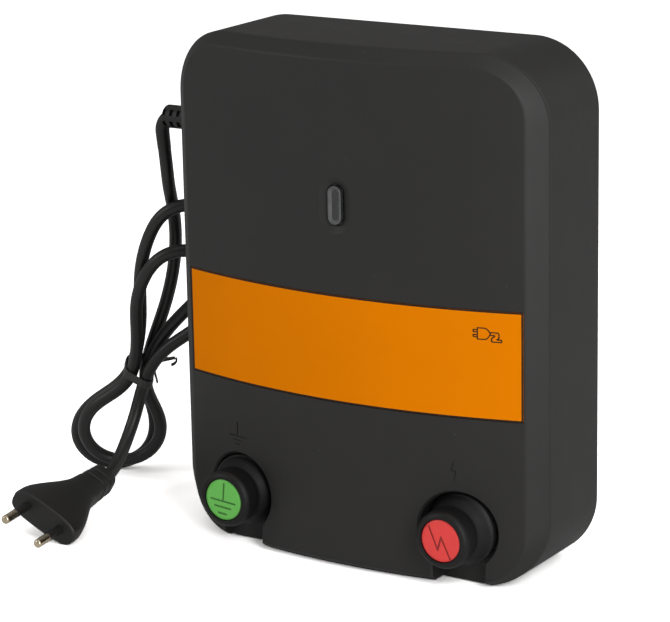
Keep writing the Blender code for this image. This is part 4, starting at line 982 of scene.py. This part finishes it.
def relief_spot(along):
    """Place and heading in the strain relief's sleeve, measured outwards from the wall."""
    turn = min(max(0.0, along - GLAND_STRAIGHT) / GLAND_BEND, GLAND_TURN)
    heading = Vector((-cos(turn), 0.0, -sin(turn)))
    bend = Vector((-sin(turn), 0.0, cos(turn) - 1)) * GLAND_BEND
    fall = max(0.0, along - GLAND_STRAIGHT - GLAND_BEND * GLAND_TURN)
    start = GLAND_SPOT - Vector((min(along, GLAND_STRAIGHT), 0.0, 0.0))
    return start + bend + heading * fall, heading


def plug_matrix():
    """Place and turn of the plug: its front is at the origin of its own frame, its lead towards +Y."""
    across, along, over = (radians(a) for a in PLUG_TURN)
    tilt = Matrix.Rotation(across, 4, "X") @ Matrix.Rotation(along, 4, "Y")
    return Matrix.Translation(PLUG_FRONT) @ (Matrix.Rotation(over, 4, "Z") @ tilt)


def hank_frame():
    """The hank's directions along, across and towards the front."""
    along = HANK_AXIS.normalized()
    across = (HANK_SIDE - along * HANK_SIDE.dot(along)).normalized()
    return along, across, across.cross(along)


def lobe_places(run):
    """Places in one lobe, along its middle line, ahead of it and aside: out, round the fold and back."""
    spread = HANK_FOLD - HANK_WAIST
    shares = [i / RUN_POINTS for i in range(RUN_POINTS)]
    out = [(run * share, 0.0, HANK_WAIST + spread * sway(share)) for share in shares]
    fold = [(run, HANK_FOLD * sin(t), HANK_FOLD * cos(t)) for t in arc(FOLD_STEPS, 0.0, pi)]
    back = [(middle, ahead, -aside) for middle, ahead, aside in reversed(out)]
    return out + fold + back


def hank_points():
    """Two loops of the lead: lower and upper lobes in turn, each swung over and half a pitch higher."""
    along, across, front = hank_frame()
    points = []
    for lobe, (reach, lean) in enumerate(zip(HANK_REACH, HANK_LEAN)):
        way = -1 if lobe % 2 == 0 else 1
        out = along * way
        run = reach - HANK_FOLD
        swing = lean / (run / 2 + HANK_FOLD)
        places = lobe_places(run)
        for i, (middle, ahead, aside) in enumerate(places):
            tilt = atan(swing * middle / run)
            spine = out * middle + across * (swing * middle ** 2 / (2 * run))
            onward = out * cos(tilt) + across * sin(tilt)
            sideways = across * cos(tilt) - out * sin(tilt)
            climb = HANK_PITCH * ((lobe + i / (len(places) - 1)) / 2 - 1)
            points.append(HANK_TIE + spine + onward * ahead - sideways * aside * way + front * climb)
        if lobe < len(HANK_REACH) - 1:
            points.pop()
    straight = along * settings().cord.diameter
    return [points[0] + straight, *points, points[-1] - straight]


def cord_route():
    """The whole lead from the strain relief, through the hank, to the back of the plug."""
    along = hank_frame()[0]
    hank = hank_points()
    start, leaving = relief_spot(GLAND_LENGTH)
    plug_back = plug_matrix() @ Vector((0.0, PLUG_LENGTH, 0.0))
    heading = plug_matrix().to_3x3() @ Vector((0.0, 1.0, 0.0))
    route = [start, start + leaving * CORD_LEAD_IN, *CORD_DOWN, hank[0] + along * CORD_LEAD_IN, *hank,
             hank[-1] - along * CORD_RUN_OUT, *CORD_ALONG, plug_back + heading * CORD_LEAD_IN, plug_back]
    return relaxed(through(route, settings().cord.step))


def route_curve(name, points):
    curve = bpy.data.curves.new(name, "CURVE")
    curve.dimensions = "3D"
    line = curve.splines.new("POLY")
    line.points.add(len(points) - 1)
    for point, where in zip(line.points, points):
        point.co = (*where, 1.0)
    return placed(name, curve)


def tube_tree():
    """Node tree that sweeps a round section along a curve."""
    kinds = {"section": "GeometryNodeCurvePrimitiveCircle", "sweep": "GeometryNodeCurveToMesh",
             "smooth": "GeometryNodeSetShadeSmooth"}
    links = (("start", "Radius", "section", "Radius"), ("start", "Sides", "section", "Resolution"),
             ("start", "Geometry", "sweep", "Curve"), ("section", "Curve", "sweep", "Profile Curve"),
             ("sweep", "Mesh", "smooth", "Geometry"), ("smooth", "Geometry", "real", "Geometry"))
    tree, nodes = shape_tree("round_tube", (("Radius", "Float"), ("Sides", "Int")), kinds, links)
    nodes["sweep"].inputs["Fill Caps"].default_value = True
    return tree


class ENERGIZER_OT_stage(bpy.types.Operator):
    """Sets up the floor, the soft light and the camera"""

    bl_idname = "energizer.stage"
    bl_label = "Stage"

    def execute(self, context):
        context.scene.view_settings.view_transform = "Standard"
        pale_room()
        pale_floor()
        for name, values in LAMPS.items():
            lamp(name, *values)
        camera()
        return {"FINISHED"}


def shown_to_camera(tree, surface, bright, output):
    """Shows the camera another shader than the one that lights the object."""
    path = add_node(tree, "LightPath")
    choice = add_node(tree, "MixShader")
    sources = (path.outputs["Is Camera Ray"], surface, bright)
    for source, socket in zip(sources, choice.inputs):
        tree.links.new(source, socket)
    tree.links.new(choice.outputs[0], output)


def pale_room():
    """A pale sky that is dimmer along one line, and white to the camera."""
    world = bpy.data.worlds.new("pale_room")
    world.use_nodes = True
    bpy.context.scene.world = world
    tree = world.node_tree
    sky = tree.nodes["Background"]
    sky.inputs["Color"].default_value = SKY_COLOUR
    facing = add_node(tree, "TexCoord")
    share = add_node(tree, "VectorMath")
    share.operation = "DOT_PRODUCT"
    share.inputs[1].default_value = SKY_DARK
    size = add_node(tree, "Math")
    size.operation = "ABSOLUTE"
    fade = add_node(tree, "MapRange", **SKY_FADE)
    fade.interpolation_type = "SMOOTHSTEP"
    tree.links.new(facing.outputs["Generated"], share.inputs[0])
    tree.links.new(share.outputs["Value"], size.inputs[0])
    tree.links.new(size.outputs[0], fade.inputs["Value"])
    tree.links.new(fade.outputs["Result"], sky.inputs["Strength"])
    white = add_node(tree, "Background", Color=CAMERA_SKY)
    shown_to_camera(tree, sky.outputs[0], white.outputs[0], tree.nodes["World Output"].inputs["Surface"])


def pale_floor():
    """A wide pale floor that is white to the camera, with soft shadows."""
    finish = tinted("pale_floor", (0.86, 0.86, 0.86), roughness=0.8, scale=3.0, amount=0.01)
    white = add_node(finish.tree, "BsdfDiffuse", Color=CAMERA_FLOOR)
    output = finish.tree.nodes["Material Output"].inputs["Surface"]
    shown_to_camera(finish.tree, finish.shader.outputs[0], white.outputs[0], output)
    mesh = bpy.data.meshes.new("floor")
    corners = [(x * FLOOR_HALF, y * FLOOR_HALF, 0.0) for x, y in ((-1, -1), (1, -1), (1, 1), (-1, 1))]
    mesh.from_pydata(corners, [], [(0, 1, 2, 3)])
    mesh.materials.append(finish.material)
    floor = placed("floor", mesh)


def lamp(name, place, aim, size, watts):
    """A rectangular area lamp."""
    light = bpy.data.lights.new(name, "AREA")
    light.shape = "RECTANGLE"
    light.size, light.size_y = size
    light.energy = watts
    holder = placed(name, light)
    holder.location = place
    heading = Vector(aim) - Vector(place)
    holder.rotation_euler = heading.to_track_quat("-Z", "Y").to_euler()


def camera():
    stage = settings().stage
    lens = bpy.data.cameras.new("camera")
    lens.lens = stage.lens
    lens.sensor_width = SENSOR_WIDTH
    azimuth, elevation, roll = stage.azimuth, stage.elevation, stage.roll
    back = Vector((sin(azimuth) * cos(elevation), -cos(azimuth) * cos(elevation),
                   sin(elevation)))
    right = Vector((cos(azimuth), sin(azimuth), 0.0))
    up = back.cross(right)
    tilted_right = right * cos(roll) + up * sin(roll)
    tilted_up = up * cos(roll) - right * sin(roll)
    turn = Matrix((tilted_right, tilted_up, back)).transposed().to_4x4()
    holder = placed("camera", lens)
    holder.matrix_world = Matrix.Translation(Vector(stage.target) + back * stage.distance) @ turn
    bpy.context.scene.camera = holder


class ENERGIZER_OT_shells(bpy.types.Operator):
    """Moulds the bowed cover and the deep rear shell"""

    bl_idname = "energizer.shells"
    bl_label = "Shells"

    def execute(self, context):
        plastic = (finish_of(case_plastic),)
        piece("cover_moulding", cover_mesh(), plastic, ("front_cover",))
        piece("rear_moulding", rear_mesh(), plastic, ("rear_case",))
        return {"FINISHED"}


class ENERGIZER_OT_band(bpy.types.Operator):
    """Lays the printed band in its recess and sets the indicator's lens"""

    bl_idname = "energizer.band"
    bl_label = "Band and lens"

    def execute(self, context):
        # The band's own print, and the dark finish of its plug sign and of the painted shade along its
        # edge
        inks = (finish_of(band_print), finish_of(print_and_edge_shade))
        piece("front_band", band_mesh(), inks, ("front_label",))
        # The lens's own dark plastic, and the painted highlight on its rim
        glass = (finish_of(lens_face), finish_of(lens_rim_painted_highlight))
        piece("indicator_lens", lens_mesh(), glass, ("led_lens",))
        return {"FINISHED"}


def band_lines():
    """Lines on the band with their widths: a printed plain plug sign, and a dark frame of painted shade
    along the edge.
    """
    middle_x, middle_z = PLUG_SIGN_SPOT
    lines = []
    for corners, soft in PLUG_SIGN:
        line = [(middle_x + x * PLUG_SIGN_SCALE, middle_z + z * PLUG_SIGN_SCALE)
                for x, z in softened(corners, soft, SIGN_STEPS)]
        lines.append((line, PLUG_SIGN_WIDTH))
    # Dark frame along the band's edge: painted shade of the gap round the band, in the same dark finish
    # as the sign
    inset = FIT + EDGE_SHADE_WIDTH / 2
    half = LABEL_HALF - inset
    low = LABEL_LOW + inset
    high = LABEL_HIGH - inset
    across = [half * (2 * i / EDGE_SHADE_STEPS - 1) for i in range(EDGE_SHADE_STEPS + 1)]
    edge_shade_lines = [[(x, z) for x in across] for z in (low, high)]
    edge_shade_lines += [[(x, low), (x, high)] for x in (-half, half)]
    return lines + [(line, EDGE_SHADE_WIDTH) for line in edge_shade_lines]


def band_mesh():
    """Band that follows the bow, with its printed sign and a dark frame of painted shade along its edge.
    """
    back = LABEL_RECESS - FIT
    front = back - LABEL_SHEET
    edges = (LABEL_HALF - FIT, LABEL_LOW + FIT, LABEL_HIGH - FIT, LABEL_CORNER - FIT)
    rings = [outline_ring(*edges, bowed(depth)) for depth in (front, back)]
    shape = bmesh.new()
    shape.from_mesh(loft("band", rings, strips=True))
    plain = len(shape.faces)
    for line, width in band_lines():
        for start, end in zip(line, line[1:]):
            corners = [(x, at(front + bow(x)), z) for x, z in stroke(start, end, width)]
            outer = [shape.verts.new((x, y - PRINT_AND_SHADE_PROUD, z)) for x, y, z in corners]
            inner = [shape.verts.new((x, y + PRINT_AND_SHADE_SUNK, z)) for x, y, z in corners]
            shape.faces.new(outer)
            for i in range(4):
                j = (i + 1) % 4
                shape.faces.new((outer[i], inner[i], inner[j], outer[j]))
    shape.faces.ensure_lookup_table()
    # Faces of the printed sign and of the painted edge shade
    ink = shape.faces[plain:]
    for face in ink:
        face.material_index = 1
    bmesh.ops.recalc_face_normals(shape, faces=ink)
    mesh = bpy.data.meshes.new("band")
    shape.to_mesh(mesh)
    shape.free()
    return smoothed(mesh)


def lens_mesh():
    """Slot-shaped lens with a sunk window, a flange behind the face and a light pipe, and a painted
    highlight on its front rim.
    """
    wide, tall = LENS_SIZE
    pipe_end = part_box("led_lens")[1].y
    flange = WALL + FIT
    flange_back = flange + LENS_FLANGE_THICK
    rim = 2 * LENS_RIM
    floor = rim + 2 * LENS_SLOPE[0]
    stages = ((LENS_FRONT + LENS_SLOPE[1], wide - floor, tall - floor),
              (LENS_FRONT, wide - rim, tall - rim),
              (LENS_FRONT + FIT / 3, wide - FIT, tall - FIT),
              (LENS_FRONT + FIT, wide, tall), (flange, wide, tall),
              (flange, wide + LENS_FLANGE, tall + LENS_FLANGE),
              (flange_back, wide + LENS_FLANGE, tall + LENS_FLANGE),
              (flange_back, *LENS_PIPE), (pipe_end - FACE_Y, *LENS_PIPE))
    mesh = stacked("lens", [(depth, stadium(w, h)) for depth, w, h in stages])
    # The front rim's faces take the painted highlight, the rest keep the lens's own dark colour
    highlight_faces = LENS_HIGHLIGHT_RINGS * len(stadium(wide, tall))
    for face in mesh.polygons:
        face.material_index = 1 if face.index < highlight_faces else 0
    return mesh


class ENERGIZER_OT_terminals(bpy.types.Operator):
    """Turns the two knobs and their coloured discs"""

    bl_idname = "energizer.terminals"
    bl_label = "Terminals"

    def execute(self, context):
        colours = settings().colours
        satin = (finish_of(knob_plastic),)
        for side, x, colour, sign in (("earth", -KNOB_X, colours.earth, EARTH_SIGN),
                                      ("fence", KNOB_X, colours.fence, FENCE_SIGN)):
            body = f"{side}_grip"
            piece(f"{side}_knob_turning", knob_mesh(x), satin, (f"{side}_knob",), body)
            paints = disc_paints(side, tuple(colour))
            disc = disc_mesh(x, sign, paints)
            piece(f"{side}_sign_disc", disc, paints, (f"{side}_disc",), body)
        return {"FINISHED"}


def disc_paints(side, colour):
    """Plastic of a disc, and a darker shade of it in its sign."""
    shade = tuple(c * SIGN_SHADE for c in colour)
    grain = {"grain": 2200.0, "depth": 0.00002}
    plastic = moulded(f"{side}_disc_plastic", colour, roughness=0.42, clouds=0.04, **grain)
    ink = moulded(f"{side}_sign", shade, roughness=0.5, **grain)
    return plastic.material, ink.material


def knob_mesh(x):
    """Knob with a flat skirt, a flare, a waist and a cap with a seat for the disc."""
    front = -KNOB_PROUD
    skirt_front = SKIRT_BACK - SKIRT_THICK
    seat = front + DISC_SUNK + DISC_THICK + FIT
    disc_room = DISC_RADIUS + FIT
    flare = [(skirt_front - ahead, radius) for ahead, radius in KNOB_FLARE]
    cap = [(front + behind, radius) for behind, radius in KNOB_CAP]
    line = ((SKIRT_BACK - KNOB_BORE, STUD_ROOM), (SKIRT_BACK, STUD_ROOM), (SKIRT_BACK, SKIRT_RADIUS),
            (skirt_front, SKIRT_RADIUS), *flare, *cap, (front, disc_room), (seat, disc_room))
    profile = [(at(depth), radius) for depth, radius in softened(line, KNOB_SOFT)]
    return turned("knob", profile, (x, KNOB_Z), KNOB_SIDES)


def disc_mesh(x, sign, paints):
    """Coloured disc with a sign sunk into its front."""
    front = DISC_SUNK - KNOB_PROUD
    fall, wide = DISC_EDGE
    line = softened(((front, 0.0), (front, DISC_RADIUS - wide), (front + fall, DISC_RADIUS),
                     (front + DISC_THICK, DISC_RADIUS)), DISC_SOFT)
    profile = [(at(depth), radius) for depth, radius in line if radius > 0.0]
    disc = turned("disc", profile, (x, KNOB_Z), KNOB_SIDES)
    middle = Vector((x, KNOB_Z))
    turn = Matrix.Rotation(SIGN_TURN, 2)
    cutters = []
    for start, end in sign:
        outline = stroke(middle + turn @ Vector(start), middle + turn @ Vector(end), SIGN_WIDTH)
        cutters.append(extruded("sign", outline, front - SIGN_DEPTH, front + SIGN_DEPTH))
        for face in cutters[-1].polygons:
            face.material_index = 1
    for mesh in (disc, *cutters):
        for paint in paints:
            mesh.materials.append(paint)
    return carved(disc, [(cutter, CUT) for cutter in cutters])


class ENERGIZER_OT_strain_relief(bpy.types.Operator):
    """Moulds the slotted strain relief where the lead leaves the case"""

    bl_idname = "energizer.strain_relief"
    bl_label = "Strain relief"

    def execute(self, context):
        rubber = (finish_of(cord_rubber),)
        piece("strain_relief", relief_mesh(), rubber, ("cord_gland",))
        return {"FINISHED"}


def relief_slot(along, turn):
    """Cutter for one grip slot in the block of the strain relief."""
    long, wide, deep = SLOT_SIZE
    out = Vector((0.0, cos(turn), sin(turn)))
    aside = Vector((0.0, -sin(turn), cos(turn)))
    middle = GLAND_SPOT + Vector((-along, 0.0, 0.0))
    rings = []
    for rise in (GLAND_BLOCK[0] - deep, GLAND_BLOCK[0] + deep):
        rings.append([middle + out * rise + Vector((u * long / 2, 0.0, 0.0)) + aside * (v * wide / 2)
                      for u, v in ((-1, -1), (1, -1), (1, 1), (-1, 1))])
    return loft("slot", rings)


def straight_spot(along):
    """Place and heading in the strain relief's block, measured outwards from the wall."""
    return GLAND_SPOT - Vector((along, 0.0, 0.0)), Vector((-1.0, 0.0, 0.0))


def relief_rings(line, spot_of):
    """Round rings along the strain relief from (along, radius) points."""
    across = Vector((0.0, 1.0, 0.0))
    turns = circle(GLAND_SIDES)
    rings = []
    for along, radius in line:
        spot, heading = spot_of(along)
        over = heading.cross(across)
        rings.append([spot + radius * (across * cos(t) + over * sin(t)) for t in turns])
    return rings


def relief_mesh():
    """Flange inside the wall, a straight block with grip slots and a sleeve that turns down from it."""
    inside = -WALL - FIT
    outside = FIT + GLAND_FLANGE_THICK
    radius, reach = GLAND_BLOCK
    line = ((inside - GLAND_FLANGE_THICK, GLAND_FLANGE), (inside, GLAND_FLANGE), (inside, GLAND_NECK),
            (FIT, GLAND_NECK), (FIT, GLAND_FLANGE), (outside, GLAND_FLANGE), (outside, radius),
            (reach, radius), (reach, radius / 2))
    block = relief_rings(softened(line, GLAND_SOFT, MOULDED_STEPS), straight_spot)
    start = GLAND_STRAIGHT - GLAND_BEND
    first, last = GLAND_SLEEVE
    shares = [i / SLEEVE_STEPS for i in range(SLEEVE_STEPS + 1)]
    tube = [(start + (GLAND_LENGTH - start) * share, first + (last - first) * share) for share in shares]
    tube.append((GLAND_LENGTH, settings().cord.diameter / 2))
    sleeve = loft("sleeve", relief_rings(tube, relief_spot))
    turns = [pi * (2 * i + 1) / SLOT_TURNS for i in range(SLOT_TURNS)]
    slots = [(relief_slot(along, turn), CUT) for along in SLOT_PLACES for turn in turns]
    return carved(loft("relief", block), [*slots, (sleeve, JOIN)])


class ENERGIZER_OT_mains_plug(bpy.types.Operator):
    """Moulds the flat plug and turns its two pins"""

    bl_idname = "energizer.mains_plug"
    bl_label = "Plug"

    def execute(self, context):
        rubber = (finish_of(cord_rubber),)
        plated = (finish_of(pin_metal),)
        piece("plug_moulding", plug_mesh(), rubber, ("plug_body",))
        for number, x in ((1, -PIN_X), (2, PIN_X)):
            piece(f"plug_pin_turning_{number}", pin_mesh(x), plated, (f"plug_pin_{number}",))
        return {"FINISHED"}


def plug_tail():
    """Depth, share of the tail, and 1 on the floor of a groove, along the ribbed tail of the plug."""
    length = PLUG_LENGTH - PLUG_TAPER_END
    pitch = length / (PLUG_RIBS + 1)
    edge = pitch * RIB_EDGE
    floor = pitch * RIB_FLOOR
    stages = []
    for i in range(1, PLUG_RIBS + 1):
        middle = PLUG_TAPER_END + pitch * i
        stages += [(middle - edge, 0), (middle - floor, 1), (middle + floor, 1), (middle + edge, 0)]
    stages.append((PLUG_LENGTH, 0))
    return [(depth, (depth - PLUG_TAPER_END) / length, sunk) for depth, sunk in stages]


def plug_stages():
    """Depth, half width and half thickness along the plug: round front, taper and ribbed tail."""
    stages = []
    for t in arc(NOSE_STEPS):
        inset = PLUG_ROUND * (1 - sin(t))
        stages.append((PLUG_ROUND * (1 - cos(t)), *(half - inset for half in PLUG_HALF)))
    for i in range(TAPER_STEPS + 1):
        share = i / TAPER_STEPS
        depth = PLUG_STRAIGHT + (PLUG_TAPER_END - PLUG_STRAIGHT) * share
        halves = zip(PLUG_HALF, PLUG_TAIL_HALF)
        stages.append((depth, *(a + (b - a) * smoothstep(share) for a, b in halves)))
    tail = [stages[-1]]
    for depth, share, sunk in plug_tail():
        tail.append((depth, *(a + (PLUG_END - a) * share - PLUG_GROOVE * sunk for a in PLUG_TAIL_HALF)))
    tail.append((PLUG_LENGTH, *(settings().cord.diameter / 2,) * 2))
    return stages + softened(tail, PLUG_SOFT, MOULDED_STEPS)[1:]


def plug_mesh():
    """Moulded body of the plug with the black roots of its pins."""
    section = [squarish(t, PLUG_FULLNESS) for t in circle(PLUG_SIDES)]
    rings = [[(wide * u, depth, thick * v) for u, v in section] for depth, wide, thick in plug_stages()]
    line = softened(((-SLEEVE_LENGTH, PIN_RADIUS * SLEEVE_TIP), (-SLEEVE_LENGTH, PIN_RADIUS),
                     (2 * PIN_RADIUS, PIN_RADIUS)), SLEEVE_SOFT)
    sleeves = [(turned("sleeve", line, (x, 0.0), PIN_SIDES), JOIN) for x in (-PIN_X, PIN_X)]
    mesh = carved(loft("plug", rings), sleeves)
    mesh.transform(plug_matrix())
    return mesh


def pin_mesh(x):
    """Metal end of one pin with a rounded nose."""
    line = []
    for t in arc(ROUND_STEPS):
        radius = PIN_RADIUS - PIN_NOSE * (1 - sin(t))
        line.append((PIN_NOSE * (1 - cos(t)) - PIN_LENGTH, radius))
    line += [(-SLEEVE_LENGTH - FIT / 3, PIN_RADIUS), (-SLEEVE_LENGTH - FIT / 3, PIN_RADIUS / 2)]
    mesh = turned("pin", line, (x, 0.0), PIN_SIDES)
    mesh.transform(plug_matrix())
    return mesh


class ENERGIZER_OT_mains_cord(bpy.types.Operator):
    """Lays the mains lead from the strain relief through its hank to the plug, and ties it"""

    bl_idname = "energizer.mains_cord"
    bl_label = "Mains lead"

    def execute(self, context):
        sizes = settings().cord
        route = cord_route()
        sheath = finish_of(cord_sheath)
        values = {"Radius": sizes.diameter / 2, "Sides": sizes.sides, "Finish": sheath}
        mesh = evaluated(route_curve("mains_cord_route", route), tube_tree(), values)
        solids = ("cord_from_case", "cord_hank", "cord_to_plug")
        flex = piece("mains_cord", mesh, (sheath,), solids)
        strip = (finish_of(tie_strip),)
        tie = piece("twist_tie", tie_mesh(), strip, ("cord_tie",))
        return {"FINISHED"}


def tie_turn():
    """Places and outward directions in the tie's one turn round the waist of the hank."""
    along, across, front = hank_frame()
    strands = range(len(HANK_REACH) + 1)
    runs = [(HANK_WAIST * (1 - 2 * (k % 2)), HANK_PITCH * (k / 2 - 1)) for k in strands]
    clear = settings().cord.diameter / 2 + TIE_THICK + FIT
    spots = []
    for i, turn in enumerate(arc(TIE_STEPS, 0.0, 2 * pi)):
        aside = cos(turn)
        ahead = sin(turn)
        u, v = max(runs, key=lambda run: run[0] * aside + run[1] * ahead)
        rise = along * TIE_RISE * (i / TIE_STEPS - 0.5)
        where = HANK_TIE + rise + across * (u + clear * aside) + front * (v + clear * ahead)
        spots.append((where, across * aside + front * ahead))
    return spots


def tie_line():
    """Place, outward direction and taper along the tie: a tail, the turn, and a tail with a hook."""
    along, across, _ = hank_frame()
    spots = tie_turn()
    normal = spots[0][1]
    out = (2 * across + along).normalized()
    down = (across - 2 * along).normalized()
    shares = [i / TAIL_STEPS for i in range(1, TAIL_STEPS + 1)]
    lower = [(spots[0][0] + down * TIE_TAIL * s, normal, s) for s in reversed(shares)]
    upper = [(spots[-1][0] + out * TIE_TAIL * s, normal, s) for s in shares]
    tip = upper[-1][0]
    for t in arc(ROUND_STEPS, 0.0, pi)[1:]:
        hook = (out * sin(t) + along * (cos(t) - 1)) * TIE_HOOK / 2
        upper.append((tip + hook, normal, 1.0))
    return lower + [(where, facing, 0.0) for where, facing in spots] + upper


def tie_mesh():
    """Flat tie that winds once round the waist of the hank and ends in two tails."""
    line = tie_line()
    section = [squarish(t, TIE_FULLNESS) for t in circle(TIE_SIDES)]
    rings = []
    for i, (where, facing, share) in enumerate(line):
        before = line[max(i - 1, 0)][0]
        after = line[min(i + 1, len(line) - 1)][0]
        heading = (after - before).normalized()
        wide = heading.cross(facing).normalized() * (TIE_HALF + (TIE_END - TIE_HALF) * share)
        thick = wide.cross(heading).normalized() * TIE_THICK
        rings.append([where + wide * u + thick * v for u, v in section])
    return loft("tie", rings)


class ENERGIZER_OT_case_screws(bpy.types.Operator):
    """Sets the four case screws in their wells"""

    bl_idname = "energizer.case_screws"
    bl_label = "Case screws"

    def execute(self, context):
        plating = finish_of(zinc)
        template = placed("screw_template", screw_mesh())
        seat = at(CASE_SCREW_SEAT + 2 * FIT)
        spots = [(x, seat, z) for z in CASE_SCREW_Z for x in (-CASE_SCREW_X, CASE_SCREW_X)]
        mesh = bpy.data.meshes.new("screw_spots")
        mesh.from_pydata(spots, [], [])
        values = {"Screw": template, "Finish": plating}
        made = evaluated(placed("screw_spots", mesh), repeat_tree(), values)
        bpy.data.objects.remove(template, do_unlink=True)
        solids = tuple(f"case_screw_{i + 1}" for i in range(len(spots)))
        piece("case_screw_set", smoothed(made), (plating,), solids)
        return {"FINISHED"}


def screw_mesh():
    """Pan-head screw along Y with a cross recess in its head, which looks backwards."""
    line = softened(((HEAD_THICK, 0.0), (HEAD_THICK, HEAD_RADIUS * HEAD_FLAT),
                     (HEAD_THICK * HEAD_SIDE, HEAD_RADIUS), (0.0, HEAD_RADIUS), (0.0, SHANK_RADIUS),
                     (-SHANK_LENGTH, SHANK_RADIUS), TIP), SCREW_SOFT)
    shape = turned("screw", [(y, r) for y, r in line if r > 0.0], (0.0, 0.0), SCREW_SIDES)
    steps = []
    for half_x, half_z in (CROSS, CROSS[::-1]):
        corners = [(-half_x, -half_z), (half_x, -half_z), (half_x, half_z), (-half_x, half_z)]
        rings = [[(x, y, z) for x, z in corners] for y in (HEAD_THICK - CROSS_DEPTH, 2 * HEAD_THICK)]
        steps.append((loft("cross", rings), CUT))
    return carved(shape, steps)


def repeat_tree():
    """Node tree that sets one object on every point of a mesh."""
    kinds = {"shape": "GeometryNodeObjectInfo", "spread": "GeometryNodeInstanceOnPoints"}
    links = (("start", "Screw", "shape", "Object"), ("start", "Geometry", "spread", "Points"),
             ("shape", "Geometry", "spread", "Instance"), ("spread", "Instances", "real", "Geometry"))
    return shape_tree("set_on_points", (("Screw", "Object"),), kinds, links)[0]


class ENERGIZER_OT_plain_pieces(bpy.types.Operator):
    """Gives the pieces inside and the small metal pieces their finishes"""

    bl_idname = "energizer.plain_pieces"
    bl_label = "Inner and metal pieces"

    def execute(self, context):
        record = frame["record"]
        slots = {row["node"]: row["material_slot"] for row in record["subparts"]}
        entries = {row["slot"]: row for row in record["materials"]}
        for name, node in frame["nodes"].items():
            if slots[name] == "case" or node.hide_render:
                continue
            entry = entries[slots[name]]
            maker = plain_metal if entry["class"] in METALS else plain_plastic
            node.data.materials.clear()
            node.data.materials.append(finish_of(maker, entry["slot"], tuple(entry["base_color"][:3])))
        return {"FINISHED"}


class ENERGIZER_PT_looks(bpy.types.Panel):
    """Lists the operators that dress the energizer"""

    bl_idname = "ENERGIZER_PT_looks"
    bl_label = "Energizer"
    bl_space_type = "VIEW_3D"
    bl_region_type = "UI"
    bl_category = "Energizer"

    def draw(self, context):
        for operator in OPERATORS:
            self.layout.operator(operator.bl_idname)


OPERATORS = (ENERGIZER_OT_stage, ENERGIZER_OT_shells, ENERGIZER_OT_band, ENERGIZER_OT_terminals,
             ENERGIZER_OT_strain_relief, ENERGIZER_OT_mains_plug, ENERGIZER_OT_mains_cord,
             ENERGIZER_OT_case_screws, ENERGIZER_OT_plain_pieces)
CLASSES = (FinishColours, StageSettings, CordSizes, EnergizerSettings, *OPERATORS, ENERGIZER_PT_looks)


def register():
    for cls in CLASSES:
        bpy.utils.register_class(cls)
    bpy.types.Scene.energizer = PointerProperty(type=EnergizerSettings)


def unregister():
    del bpy.types.Scene.energizer
    for cls in reversed(CLASSES):
        bpy.utils.unregister_class(cls)


def main():
    register()
    bpy.ops.energizer.stage()
    bpy.ops.energizer.shells()
    bpy.ops.energizer.band()
    bpy.ops.energizer.terminals()
    bpy.ops.energizer.strain_relief()
    bpy.ops.energizer.mains_plug()
    bpy.ops.energizer.mains_cord()
    bpy.ops.energizer.case_screws()
    bpy.ops.energizer.plain_pieces()


if __name__ == "__main__":
    main()
